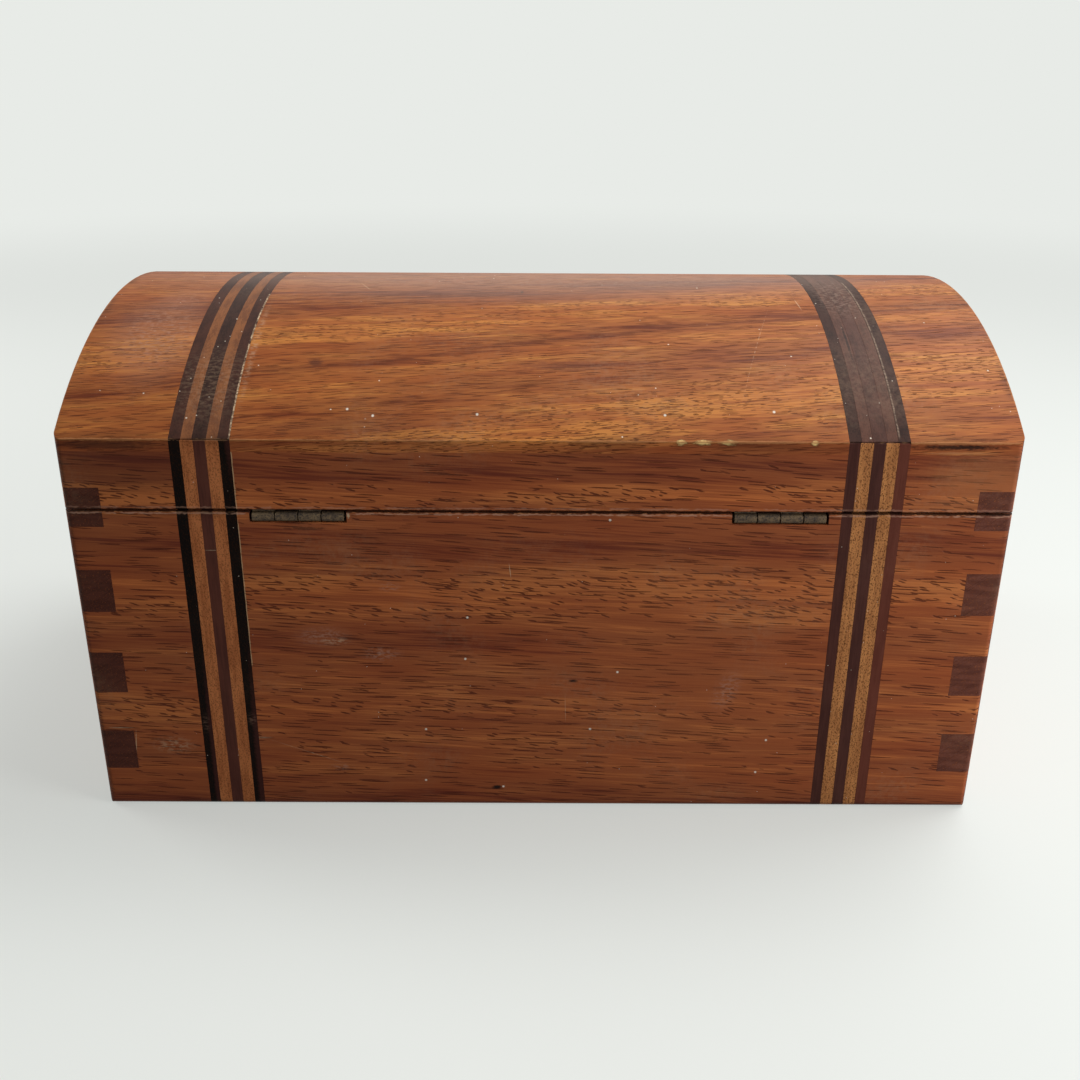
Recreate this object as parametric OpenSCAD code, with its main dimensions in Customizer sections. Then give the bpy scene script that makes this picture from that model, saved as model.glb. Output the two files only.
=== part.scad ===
// Domed wooden puzzle box.
//
// Four boards are joined at the corners with box-joint fingers, a domed board is glued on
// top, and the lid is then sawn off through a finger. Two bands of five inlaid strips run
// up the long sides and over the dome. The lid turns on two small butt hinges let into the
// top edge of the rear wall. A loose pin inside the front wall locks the lid when the box
// is tipped forwards, and frees it when the box is tipped back.
//
// The origin is on the surface that the box stands on, at the middle of the underside.
// +X runs along the box, and the front faces -Y.

/* [Carcass] */
// Width of the box, along X
box_w = 190; // [170:1:240]
// Depth of the box, front to rear
box_d = 120; // [104:1:150]
// Height of the body, from the underside to its top edge
body_h = 70; // [62:0.5:110]
// Thickness of the walls and of the lid's rails
wall_t = 7.6; // [7:0.1:10]
// Height of one box-joint finger
finger_h = 9.5; // [6:0.1:14]
// Radius of the rounded corners and of the bottom edges
edge_r = 1.5; // [0.5:0.1:2.5]
// Thickness of the bottom panel
floor_t = 4; // [3:0.1:6]
// Height of the bottom panel above the underside
floor_rise = 4.5; // [3:0.1:8]
// How far the bottom panel goes into the walls
floor_tongue = 3.5; // [2:0.1:3.8]

/* [Lid] */
// Height of the lid's rails
rail_h = 12.1; // [10:0.1:24]
// Height of the dome board's upright edge
dome_edge_h = 2.5; // [1.5:0.1:6]
// Rise of the dome above that edge
dome_rise = 20; // [14:0.5:30]
// Thickness of the dome at its crown
dome_t = 7.5; // [6:0.1:12]
// Width of the rim left round the hollow under the dome
hollow_rim = 11; // [9:0.5:20]
// Width of the saw cut that parts the lid from the body
saw_kerf = 1.5; // [0.8:0.1:3]
// Gap between the closed lid and the body
seam_gap = 0.4; // [0.3:0.05:0.6]

/* [Inlaid bands] */
// Distance from the end of the box to the band's middle
band_inset = 28.5; // [18:0.5:34]
// Width of the two outer strips
edge_strip_w = 2.2; // [1.2:0.1:3]
// Width of the two light strips
light_strip_w = 2.6; // [1.2:0.1:3]
// Width of the middle strip
centre_strip_w = 2.4; // [1.2:0.1:3.4]
// Width of the middle strip over the dome
dome_centre_strip_w = 2.8; // [2:0.1:3.4]
// Width of the light strips over the dome
dome_light_strip_w = 2.2; // [1.8:0.1:2.8]
// Depth of the inlay
inlay_d = 2.8; // [1.5:0.1:3.2]
// Length of the short key block at the top of one middle strip
key_block_h = 8.6; // [5:0.1:16]

/* [Hinges] */
// Distance from a band to the near end of the hinge beside it
band_to_hinge = 2.9; // [1.5:0.1:12]
// Length of a hinge
hinge_l = 18.6; // [14:0.1:20]
// Number of knuckles on a hinge
knuckles = 4; // [2:2:6]
// Outside diameter of the knuckles
barrel_d = 2.1; // [1.9:0.1:2.6]
// Diameter of the hinge pin
hinge_pin_d = 0.9; // [0.8:0.1:1.2]
// Thickness of a leaf
leaf_t = 0.8; // [0.6:0.05:0.9]
// How far a leaf reaches in from the barrel's middle
leaf_d = 4.7; // [4.4:0.1:5]
// Distance of the hinge axis from the rear face
axis_inset = 0.8; // [0.7:0.05:1.1]
// Distance of the hinge axis below the body's top edge
axis_drop = 1.2; // [1.15:0.05:1.8]
// Clearance round the hinge in its notch
notch_gap = 0.4; // [0.3:0.1:1]
// Diameter of a hinge screw's shank
screw_d = 1.2; // [1:0.1:1.4]
// Diameter of a hinge screw's head
screw_head_d = 2.4; // [2:0.1:2.6]
// Length of a hinge screw
screw_l = 6; // [4:0.5:8]

/* [Tilt lock] */
// Width of the block that holds the sliding pin
lock_block_w = 24; // [18:1:40]
// Depth of the block, from the front wall inwards
lock_block_d = 12.5; // [11:0.5:20]
// Height of the block
lock_block_h = 13.5; // [13:0.5:20]
// Distance of the block's top below the body's top edge
lock_block_drop = 1; // [0.5:0.1:3]
// Diameter of the sliding pin
lock_pin_d = 3; // [2:0.1:4]
// Length of the sliding pin
lock_pin_l = 7.4; // [6:0.1:7.6]
// Distance of the sliding pin below the body's top edge
lock_pin_drop = 6.5; // [5:0.1:7]
// Width of the tongue on the lid
tongue_w = 8; // [6.5:0.5:12]
// Thickness of the tongue
tongue_t = 1.2; // [0.8:0.1:1.6]
// How far the tongue reaches below the body's top edge
tongue_drop = 10; // [9.5:0.1:11]
// How far the tongue reaches up the inside of the front rail
tongue_rise = 9; // [8:0.1:9.5]

/* [Hidden] */
$fn = 64;
CUT = 1;                                  // how far a cutter runs past what it cuts
running_gap = 0.05;                       // between a pin and the bore it turns or slides in
knuckle_gap = 0.25;                       // between neighbouring knuckles
barrel_gap = 0.1;                         // between the knuckles and the wood or a leaf's flat
leaf_gap = 0.3;                           // behind the inner edge of a leaf in its notch
groove_gap = 0.2;                         // round the bottom panel in its groove
hole_gap = 0.25;                          // round the sliding pin in the tongue's hole

lid_z = body_h + seam_gap;                // underside of the lid's rails
glue_z = lid_z + rail_h;                  // joint between the rails and the dome board
arris_z = glue_z + dome_edge_h;           // where the dome's curve starts
crown_z = arris_z + dome_rise;
dome_r = (box_d * box_d / 4 + dome_rise * dome_rise) / (2 * dome_rise);
dome_axis_z = crown_z - dome_r;           // the dome is part of a cylinder round this level
lid_shift = saw_kerf - seam_gap;          // how far the lid's fingers dropped with the cut
mitre_y = box_d / 2 - inlay_d;            // inner end of the mitre between face and dome strips
mitre_z = dome_axis_z + sqrt(pow(dome_r - inlay_d, 2) - mitre_y * mitre_y);

inner_w = box_w - 2 * wall_t;
inner_d = box_d - 2 * wall_t;
finger_count = ceil((glue_z + lid_shift) / finger_h);
BODY = [0, body_h];                       // lowest and highest level of the body's boards
RAIL = [lid_z, glue_z];                   // and of the lid's rails
LONG_SLOTS = 1;                           // the long boards are cut out at odd fingers
END_SLOTS = 0;                            // and the end boards at even ones

LEFT = -1;
RIGHT = 1;
REAR = 0;                                 // turn of each board about the box's middle
FRONT = 180;
band_w = 2 * edge_strip_w + 2 * light_strip_w + centre_strip_w;
band_x = box_w / 2 - band_inset;

hinge_x = band_x - band_w / 2 - band_to_hinge - hinge_l / 2;
axis_y = box_d / 2 - axis_inset;
axis_z = body_h - axis_drop;
barrel_r = barrel_d / 2;
notch_floor = barrel_r + barrel_gap;      // distance below the axis
lid_face = axis_drop + seam_gap;          // distance of the lid's underside above the axis
leaf_edge = barrel_r + barrel_gap;        // where the flat of a leaf starts, from the axis
screw_head_h = 0.6;                       // height of a screw's countersunk head
screw_slot_w = 0.4;                       // width of the slot in its head
screw_slot_h = 0.3;                       // and depth
screw_y = (leaf_edge + leaf_d) / 2;       // distance of the screws from the axis
screw_x = hinge_l / 4;                    // and from the hinge's middle
hinge_notch_d = axis_inset + leaf_d + leaf_gap;

lock_face_y = -inner_d / 2;               // inside of the front wall
lock_slot_gap = 1.4;                      // room behind the tongue as it swings out
lock_side_gap = 1;                        // room beside the tongue
lock_slot_d = tongue_t + lock_slot_gap;
lock_slot_y = lock_face_y + lock_slot_d;
lock_recess_d = 0.8;                      // recess in the wall in front of the tongue
lock_pin_set = 0.3;                       // how far the pin draws back behind the slot
lock_pin_z = body_h - lock_pin_drop;
tongue_screw_z = [3, 6.6];                // above the underside of the rail
tongue_screw_l = 5;                       // length of a tongue screw

// ---- Colours ----

module koa() { color([0.42, 0.20, 0.10]) children(); }
module dark_wood() { color([0.13, 0.07, 0.05]) children(); }
module light_wood() { color([0.62, 0.42, 0.20]) children(); }
module rosewood() { color([0.26, 0.11, 0.09]) children(); }
module brass() { color([0.45, 0.35, 0.18]) children(); }

// ---- Rounded edges ----

// What is taken off a square edge along X, at the origin, to leave it round. The edge's
// faces look towards +Y and -Z.
module edge_cutter(length, r) {
    difference() {
        translate([-length / 2, -r, -CUT]) cube([length, r + CUT, r + CUT]);
        translate([0, -r, r]) rotate([0, 90, 0])
            cylinder(r = r, h = length + 2 * CUT, center = true);
    }
}

// Rounds the four upright corners and the four bottom edges of the whole box.
module eased() {
    difference() {
        children();
        for (turn = [0, 180]) rotate([0, 0, turn]) {
            translate([0, box_d / 2, 0]) edge_cutter(box_w + 2 * CUT, edge_r);
            rotate([0, 0, 90]) translate([0, box_w / 2, 0]) edge_cutter(box_d + 2 * CUT, edge_r);
            for (side = [LEFT, RIGHT]) corner_cutter(side);
        }
    }
}

// The same cut, standing upright at a rear corner.
module corner_cutter(side) {
    translate([side * box_w / 2, box_d / 2, crown_z / 2]) mirror([side < 0 ? 1 : 0, 0, 0])
        rotate([0, -90, 0]) edge_cutter(crown_z + 2 * CUT, edge_r);
}

// ---- Boards ----

// A board with finger slots at both ends. It runs along X, with its inner face on Y = 0.
module jointed_board(length, levels, slots, shift) {
    difference() {
        translate([-length / 2, 0, levels[0]]) cube([length, wall_t, levels[1] - levels[0]]);
        for (i = [slots : 2 : finger_count], side = [LEFT, RIGHT])
            translate([side * (length - wall_t + CUT) / 2, wall_t / 2, (i + 0.5) * finger_h - shift])
                cube([wall_t + CUT, wall_t + 2 * CUT, finger_h], center = true);
    }
}

// Places a board that runs along X at the rear or the front of the box.
module at_long_side(turn) {
    rotate([0, 0, turn]) translate([0, inner_d / 2, 0]) children();
}

// Places a board at the left or the right end of the box.
module at_end(side) {
    rotate([0, 0, -90 * side]) translate([0, inner_w / 2, 0]) children();
}

// The two grooves for the bands in a long board.
module band_grooves(levels) {
    for (side = [LEFT, RIGHT])
        translate([side * band_x - band_w / 2, wall_t - inlay_d, levels[0] - CUT])
            cube([band_w, inlay_d + CUT, levels[1] - levels[0] + 2 * CUT]);
}

// The bottom panel, grown by a clearance round its edge. It lies on the groove's lower side.
module panel(edge_gap, top_gap) {
    reach = floor_tongue + edge_gap;
    translate([-inner_w / 2 - reach, -inner_d / 2 - reach, floor_rise])
        cube([inner_w + 2 * reach, inner_d + 2 * reach, floor_t + top_gap]);
}

module long_wall(turn) {
    eased() difference() {
        at_long_side(turn) difference() {
            jointed_board(box_w, BODY, LONG_SLOTS, 0);
            band_grooves(BODY);
        }
        panel(groove_gap, running_gap);
    }
}

module end_wall(side) {
    koa() eased() difference() {
        at_end(side) jointed_board(box_d, BODY, END_SLOTS, 0);
        panel(groove_gap, running_gap);
    }
}

module long_rail(turn) {
    eased() at_long_side(turn) difference() {
        jointed_board(box_w, RAIL, LONG_SLOTS, lid_shift);
        band_grooves(RAIL);
    }
}

module end_rail(side) {
    koa() eased() at_end(side) jointed_board(box_d, RAIL, END_SLOTS, lid_shift);
}

module rear_wall() {
    koa() difference() {
        long_wall(REAR);
        for (side = [LEFT, RIGHT]) hinge_notch(side);
        body_screws() screw_blank(screw_l);
    }
}

module front_wall() {
    koa() difference() {
        long_wall(FRONT);
        lock_recess();
    }
}

module lid_rear_rail() {
    koa() difference() {
        long_rail(REAR);
        lid_screws() screw_blank(screw_l);
    }
}

module lid_front_rail() {
    koa() difference() {
        long_rail(FRONT);
        tongue_screws() screw_blank(tongue_screw_l);
    }
}

module floor_panel() { koa() panel(0, 0); }

// ---- Dome ----

// A solid under the dome's curve, inset all round by a distance.
module dome_solid(inset) {
    intersection() {
        translate([0, 0, dome_axis_z]) rotate([0, 90, 0])
            cylinder(r = dome_r - inset, h = box_w, center = true, $fn = 256);
        translate([-box_w / 2, inset - box_d / 2, glue_z])
            cube([box_w, box_d - 2 * inset, crown_z - glue_z]);
    }
}

// A slice of the dome board's skin, as deep as the inlay, between two distances along X.
module skin_slice(start, width) {
    difference() {
        intersection() {
            dome_solid(0);
            translate([start, -box_d / 2, glue_z]) cube([width, box_d, crown_z - glue_z]);
        }
        dome_solid(inlay_d);
    }
}

// The hollow scooped out under the dome.
module dome_hollow() {
    intersection() {
        translate([0, 0, dome_axis_z]) rotate([0, 90, 0])
            cylinder(r = dome_r - dome_t, h = box_w - 2 * hollow_rim, center = true, $fn = 256);
        translate([-box_w / 2, hollow_rim - box_d / 2, glue_z - CUT])
            cube([box_w, box_d - 2 * hollow_rim, crown_z - glue_z]);
    }
}

module dome_board() {
    koa() eased() difference() {
        dome_solid(0);
        dome_hollow();
        for (side = [LEFT, RIGHT]) skin_slice(side * band_x - band_w / 2, band_w);
    }
}

// ---- Inlaid strips ----

// Distance from the band's middle to the near side of each strip of a pair, in the walls
// and over the dome, where the outer strips take what is left of the band.
light_start = centre_strip_w / 2;
edge_start = light_start + light_strip_w;
dome_light_start = dome_centre_strip_w / 2;
dome_edge_start = dome_light_start + dome_light_strip_w;
dome_edge_strip_w = band_w / 2 - dome_edge_start;

// One strip in a wall, between two levels.
module wall_strip(start, width, turn, levels) {
    eased() at_long_side(turn) translate([start, wall_t - inlay_d, levels[0]])
        cube([width, inlay_d, levels[1] - levels[0]]);
}

// Two equal strips, one at each side of the band's middle.
module wall_pair(side, start, width, turn) {
    for (way = [-1, 1])
        wall_strip(side * band_x + way * (start + width / 2) - width / 2, width, turn, BODY);
}

// One strip in the lid's upright face, from the seam to the arris, where it is mitred to
// the strip over the dome.
module lid_face_strip(start, width, turn) {
    outer_y = box_d / 2;
    rotate([0, 0, turn]) translate([start, 0, 0]) rotate([90, 0, 90]) linear_extrude(width)
        polygon([[mitre_y, lid_z], [outer_y, lid_z], [outer_y, arris_z], [mitre_y, mitre_z]]);
}

module lid_face_pair(side, start, width, turn) {
    for (way = [-1, 1])
        lid_face_strip(side * band_x + way * (start + width / 2) - width / 2, width, turn);
}

// Height of the plane of the mitre at a distance from the box's middle.
function mitre_plane(y) = arris_z + (y - box_d / 2) * (arris_z - mitre_z) / inlay_d;

// One strip over the dome, from arris to arris.
module dome_strip(start, width) {
    reach = box_d;                        // well past the dome
    intersection() {
        translate([start, 0, dome_axis_z]) rotate([0, 90, 0]) difference() {
            cylinder(r = dome_r, h = width, $fn = 256);
            translate([0, 0, -CUT]) cylinder(r = dome_r - inlay_d, h = width + 2 * CUT, $fn = 256);
        }
        translate([start - CUT, 0, 0]) rotate([90, 0, 90]) linear_extrude(width + 2 * CUT)
            polygon([
                [0, mitre_plane(0)],
                [reach, mitre_plane(reach)], [reach, crown_z + reach],
                [-reach, crown_z + reach], [-reach, mitre_plane(reach)]
            ]);
    }
}

module dome_pair(side, start, width) {
    for (way = [-1, 1]) dome_strip(side * band_x + way * (start + width / 2) - width / 2, width);
}

// On the front the board is turned half round, so left and right change places.
function face_side(side, turn) = turn == FRONT ? -side : side;

module edge_strips(side, turn) {
    dark_wood() wall_pair(face_side(side, turn), edge_start, edge_strip_w, turn);
}

module light_strips(side, turn) {
    light_wood() wall_pair(face_side(side, turn), light_start, light_strip_w, turn);
}

module centre_strip(side, turn, levels = BODY) {
    start = face_side(side, turn) * band_x - centre_strip_w / 2;
    rosewood() wall_strip(start, centre_strip_w, turn, levels);
}

module lid_edge_strips(side, turn) {
    dark_wood() lid_face_pair(face_side(side, turn), edge_start, edge_strip_w, turn);
}

module lid_light_strips(side, turn) {
    light_wood() lid_face_pair(face_side(side, turn), light_start, light_strip_w, turn);
}

module lid_centre_strip(side, turn) {
    start = face_side(side, turn) * band_x - centre_strip_w / 2;
    rosewood() lid_face_strip(start, centre_strip_w, turn);
}

module dome_edge_strips(side) { dark_wood() dome_pair(side, dome_edge_start, dome_edge_strip_w); }
module dome_light_strips(side) { light_wood() dome_pair(side, dome_light_start, dome_light_strip_w); }
module dome_centre_strip(side) {
    rosewood() dome_strip(side * band_x - dome_centre_strip_w / 2, dome_centre_strip_w);
}

// The levels that the key block takes up at the top of the rear right middle strip.
KEY = [body_h - key_block_h, body_h];
BELOW_KEY = [0, body_h - key_block_h];

// ---- Hinges ----

// Places what is drawn round the hinge axis, with X along the axis.
module at_hinge(side) { translate([side * hinge_x, axis_y, axis_z]) children(); }

module hinge_notch(side) {
    at_hinge(side) translate([-hinge_l / 2 - notch_gap, -hinge_notch_d + axis_inset, -notch_floor])
        cube([hinge_l + 2 * notch_gap, hinge_notch_d + CUT, notch_floor + axis_drop + CUT]);
}

// Every second knuckle, from the first one on, with a foot that reaches a leaf's far face.
module knuckle_row(first, foot_from, foot_to, bore_d) {
    pitch = hinge_l / knuckles;
    width = pitch - knuckle_gap;
    difference() {
        for (i = [first : 2 : knuckles - 1])
            translate([-hinge_l / 2 + (i + 0.5) * pitch, 0, 0]) {
                rotate([0, 90, 0]) cylinder(d = barrel_d, h = width, center = true);
                translate([-width / 2, -leaf_edge - running_gap, foot_from])
                    cube([width, leaf_edge + running_gap, foot_to - foot_from]);
            }
        rotate([0, 90, 0]) cylinder(d = bore_d, h = hinge_l + 2 * CUT, center = true);
    }
}

module leaf_plate(low) {
    translate([-hinge_l / 2, -leaf_d, low]) cube([hinge_l, leaf_d - leaf_edge, leaf_t]);
}

// A countersunk screw before its slot is cut. Its head is flush with Z = 0 and it points down.
module screw_blank(length) {
    translate([0, 0, -screw_head_h])
        cylinder(d1 = screw_d, d2 = screw_head_d, h = screw_head_h, $fn = 32);
    translate([0, 0, -length]) cylinder(d = screw_d, h = length - screw_head_h, $fn = 32);
}

module screw(length) {
    difference() {
        screw_blank(length);
        translate([-screw_head_d / 2 - CUT, -screw_slot_w / 2, -screw_slot_h])
            cube([screw_head_d + 2 * CUT, screw_slot_w, screw_slot_h + CUT]);
    }
}

// Puts what is drawn where each screw of one leaf goes.
module leaf_screws(side, level, flip) {
    for (way = [-1, 1])
        at_hinge(side) translate([way * screw_x, -screw_y, level]) rotate([flip, 0, 0]) children();
}

module body_screws() {
    for (side = [LEFT, RIGHT]) leaf_screws(side, leaf_t - notch_floor, 0) children();
}

module lid_screws() {
    for (side = [LEFT, RIGHT]) leaf_screws(side, lid_face - leaf_t, 180) children();
}

module hinge_body_leaf(side) {
    brass() difference() {
        at_hinge(side) {
            knuckle_row(0, -notch_floor, 0, hinge_pin_d);
            leaf_plate(-notch_floor);
        }
        leaf_screws(side, leaf_t - notch_floor, 0) screw_blank(screw_l);
    }
}

module hinge_lid_leaf(side) {
    brass() difference() {
        at_hinge(side) {
            knuckle_row(1, 0, lid_face, hinge_pin_d + 2 * running_gap);
            leaf_plate(lid_face - leaf_t);
        }
        leaf_screws(side, lid_face - leaf_t, 180) screw_blank(screw_l);
    }
}

module hinge_pin(side) {
    brass() at_hinge(side) rotate([0, 90, 0]) cylinder(d = hinge_pin_d, h = hinge_l, center = true);
}

module hinge_body_screws() { brass() body_screws() screw(screw_l); }
module hinge_lid_screws() { brass() lid_screws() screw(screw_l); }

// ---- Tilt lock ----

// Recess in the inside of the front wall, which the tongue swings through.
module lock_recess() {
    width = tongue_w + 2 * lock_side_gap;
    depth = tongue_drop + lock_side_gap;
    translate([-width / 2, lock_face_y - lock_recess_d, body_h - depth])
        cube([width, lock_recess_d + CUT, depth + CUT]);
}

module lock_block() {
    low = body_h - lock_block_drop - lock_block_h;
    slot_w = tongue_w + 2 * lock_side_gap;
    color([0.55, 0.38, 0.22]) difference() {
        translate([-lock_block_w / 2, lock_face_y, low])
            cube([lock_block_w, lock_block_d, lock_block_h]);
        translate([-slot_w / 2, lock_face_y - CUT, low - CUT])
            cube([slot_w, lock_slot_d + CUT, lock_block_h + 2 * CUT]);
        translate([0, lock_slot_y - CUT, lock_pin_z]) rotate([-90, 0, 0])
            cylinder(d = lock_pin_d + 2 * running_gap, h = CUT + lock_pin_set + lock_pin_l);
    }
}

module lock_pin() {
    brass() translate([0, lock_slot_y + lock_pin_set, lock_pin_z]) rotate([-90, 0, 0])
        cylinder(d = lock_pin_d, h = lock_pin_l);
}

module tongue_screws() {
    for (level = tongue_screw_z)
        translate([0, lock_face_y + tongue_t, lid_z + level]) rotate([-90, 0, 0]) children();
}

module lock_tongue() {
    brass() difference() {
        translate([-tongue_w / 2, lock_face_y, body_h - tongue_drop])
            cube([tongue_w, tongue_t, tongue_drop + seam_gap + tongue_rise]);
        translate([0, lock_face_y - CUT, lock_pin_z]) rotate([-90, 0, 0])
            cylinder(d = lock_pin_d + 2 * hole_gap, h = tongue_t + 2 * CUT);
        tongue_screws() screw_blank(tongue_screw_l);
    }
}

module lock_tongue_screws() { brass() tongue_screws() screw(tongue_screw_l); }

// ---- Assembly ----

rear_wall();
front_wall();
end_wall(LEFT);  // left_wall
end_wall(RIGHT);  // right_wall
floor_panel();

edge_strips(LEFT, REAR);  // rear_left_edge_strips
light_strips(LEFT, REAR);  // rear_left_light_strips
centre_strip(LEFT, REAR);  // rear_left_centre_strip
edge_strips(RIGHT, REAR);  // rear_right_edge_strips
light_strips(RIGHT, REAR);  // rear_right_light_strips
centre_strip(RIGHT, REAR, BELOW_KEY);  // rear_right_centre_strip
centre_strip(RIGHT, REAR, KEY);  // rear_right_key_block
edge_strips(LEFT, FRONT);  // front_left_edge_strips
light_strips(LEFT, FRONT);  // front_left_light_strips
centre_strip(LEFT, FRONT);  // front_left_centre_strip
edge_strips(RIGHT, FRONT);  // front_right_edge_strips
light_strips(RIGHT, FRONT);  // front_right_light_strips
centre_strip(RIGHT, FRONT);  // front_right_centre_strip

lid_rear_rail();
lid_front_rail();
end_rail(LEFT);  // lid_left_rail
end_rail(RIGHT);  // lid_right_rail
dome_board();

lid_edge_strips(LEFT, REAR);  // lid_rear_left_edge_strips
lid_light_strips(LEFT, REAR);  // lid_rear_left_light_strips
lid_centre_strip(LEFT, REAR);  // lid_rear_left_centre_strip
lid_edge_strips(RIGHT, REAR);  // lid_rear_right_edge_strips
lid_light_strips(RIGHT, REAR);  // lid_rear_right_light_strips
lid_centre_strip(RIGHT, REAR);  // lid_rear_right_centre_strip
lid_edge_strips(LEFT, FRONT);  // lid_front_left_edge_strips
lid_light_strips(LEFT, FRONT);  // lid_front_left_light_strips
lid_centre_strip(LEFT, FRONT);  // lid_front_left_centre_strip
lid_edge_strips(RIGHT, FRONT);  // lid_front_right_edge_strips
lid_light_strips(RIGHT, FRONT);  // lid_front_right_light_strips
lid_centre_strip(RIGHT, FRONT);  // lid_front_right_centre_strip

dome_edge_strips(LEFT);  // dome_left_edge_strips
dome_light_strips(LEFT);  // dome_left_light_strips
dome_centre_strip(LEFT);  // dome_left_centre_strip
dome_edge_strips(RIGHT);  // dome_right_edge_strips
dome_light_strips(RIGHT);  // dome_right_light_strips
dome_centre_strip(RIGHT);  // dome_right_centre_strip

hinge_body_leaf(LEFT);  // left_hinge_body_leaf
hinge_lid_leaf(LEFT);  // left_hinge_lid_leaf
hinge_pin(LEFT);  // left_hinge_pin
hinge_body_leaf(RIGHT);  // right_hinge_body_leaf
hinge_lid_leaf(RIGHT);  // right_hinge_lid_leaf
hinge_pin(RIGHT);  // right_hinge_pin
hinge_body_screws();
hinge_lid_screws();

lock_block();
lock_pin();
lock_tongue();
lock_tongue_screws();
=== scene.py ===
"""Finishes of a domed wooden puzzle box with inlaid bands, butt hinges and a tilt lock.

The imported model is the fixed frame, and every board, strip, leaf and screw is one of its
nodes. This script eases their edges, gives each one the finish of its own wood or metal,
and sets the box in a plain studio. Lengths are in millimetres inside the finishes and in
metres in the scene.
"""

import logging
import math
from dataclasses import dataclass, replace
from enum import Enum
from typing import Callable, ClassVar, Dict, Optional, Sequence, Tuple, Union

import bmesh
import bpy
from mathutils import Matrix, Vector


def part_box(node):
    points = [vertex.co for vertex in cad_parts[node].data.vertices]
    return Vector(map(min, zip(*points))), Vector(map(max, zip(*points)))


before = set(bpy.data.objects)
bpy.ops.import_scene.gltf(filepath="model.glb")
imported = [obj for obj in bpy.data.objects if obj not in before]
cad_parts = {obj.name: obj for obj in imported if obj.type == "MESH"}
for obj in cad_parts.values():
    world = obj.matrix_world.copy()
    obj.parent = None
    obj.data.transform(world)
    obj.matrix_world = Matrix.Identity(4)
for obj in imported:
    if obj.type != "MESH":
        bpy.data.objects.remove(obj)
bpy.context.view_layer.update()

MM = 0.001
PER_METRE = 1000.0

Socket = bpy.types.NodeSocket
Value = Union[float, Socket]
Colour = Tuple[float, float, float, float]
Place = Union[Tuple[float, float, float], Socket]
Feed = Union[float, str, Socket, Tuple[float, ...]]
Pairs = Tuple[Tuple[float, float], ...]

log = logging.getLogger("puzzle_box")


# ---- Colours and node graphs ----


def tone(red: int, green: int, blue: int) -> Colour:
    """Turns a colour as seen on a screen into the linear colour that a shader takes.

    Args:
        red: Red, from 0 to 255.
        green: Green, from 0 to 255.
        blue: Blue, from 0 to 255.

    Returns:
        The linear colour with full alpha.
    """

    def linear(level: int) -> float:
        """Undoes the screen's curve for one channel."""
        share = level / 255.0
        return share / 12.92 if share <= 0.04045 else ((share + 0.055) / 1.055) ** 2.4

    return (linear(red), linear(green), linear(blue), 1.0)


PLAIN = (1.0, 1.0, 1.0, 1.0)
WARM = (1.07, 0.95, 0.88, 1.0)
COOL = (0.95, 1.04, 1.08, 1.0)
DARK_RING = (0.76, 0.73, 0.75, 1.0)
LIGHT_RING = (1.2, 1.18, 1.16, 1.0)

PALE = tone(226, 196, 160)
SMEAR = tone(206, 172, 140)
CHALK = tone(250, 240, 224)
# Pale of the painted sheen and the dust along the dome's crest.
CREST_SHEEN_AND_DUST = tone(174, 148, 134)
HAZE = tone(186, 142, 122)
SCRATCH = tone(206, 160, 122)
SPECK = tone(240, 226, 206)
SPLINTER = tone(244, 204, 134)
KNOT = tone(30, 16, 13)
# Colour of the soiling near the edges and of the painted shade along the seam.
SOOT_AND_SEAM_SHADE = tone(34, 20, 15)
GRIME = tone(54, 31, 22)
PLUM_EDGE = tone(70, 38, 34)
SHADED_WOOD = tone(84, 44, 34)


@dataclass(frozen=True)
class Pattern:
    """Smooth noise: its grains' size in millimetres along, into and across, and its fineness.

    Swing is the full width of the noise where it moves or shades something.
    """

    along: float
    into: float
    across: float
    detail: float = 0.0
    rough: float = 0.5
    swing: float = 1.0


@dataclass(frozen=True)
class PoreRoom:
    """The room of one pore on a face in millimetres, and its half size as a share of it."""

    length: float
    width: float
    reach: float


GRAIN_DRIFT = Pattern(34, 16, 9, swing=1.7)
GRAIN_RIPPLE = Pattern(8, 5, 4, swing=1.1)
GRAIN_CLOUDS = Pattern(26, 9, 4.5, swing=0.45)
STREAKS = Pattern(56, 6, 1.9, detail=2, rough=0.62, swing=1.3)
FIBRES = Pattern(12, 0.7, 0.30, detail=1, rough=0.6, swing=0.95)
PORE_OUTLINE = Pattern(0.7, 0.4, 0.20, swing=0.16)
SHORT_PORES = PoreRoom(4.6, 0.86, 0.28)
LONG_PORES = PoreRoom(15, 0.62, 0.27)
SPECK_ROOM = (1.8, 1.8, 1.8)
SCRATCH_ROOM = (9, 9, 34)
END_PORES = Pattern(0.6, 0.34, 0.34, detail=2, rough=0.7)
END_RINGS = Pattern(20, 7, 1.1, detail=1)
STRIP_FIBRES = Pattern(5, 0.32, 0.32, detail=2, rough=0.6, swing=1.5)
STRIP_CLOUDS = Pattern(8, 1.8, 1.8, detail=1, swing=1.5)
STRIP_FLECKS = Pattern(0.40, 0.26, 0.26, detail=2, rough=0.6)
RUB_OUTLINE = Pattern(1.3, 0.8, 0.8, detail=2, rough=0.6)
RUB_PATCHES = Pattern(14, 9, 9)
DUST_CLOUDS = Pattern(30, 30, 22, detail=2, rough=0.6)
DUST_GRIT = Pattern(1.1, 1.1, 1.1, detail=3, rough=0.7)
MARK_GRIT = Pattern(1.3, 1.0, 0.55, detail=3, rough=0.62, swing=2.0)
TARNISH_CLOUDS = Pattern(2.0, 1.4, 1.4, detail=3, rough=0.65)
TARNISH_GRIT = Pattern(0.35, 0.35, 0.35, detail=2, rough=0.6, swing=0.5)
DRAWING_LINES = Pattern(6, 0.12, 0.12)
SEAM_CHAFING = Pattern(2.6, 2.6, 0.8, detail=2, rough=0.6)
SEAM_CHIPS = Pattern(0.9, 0.9, 0.5, detail=1, swing=0.5)
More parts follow.
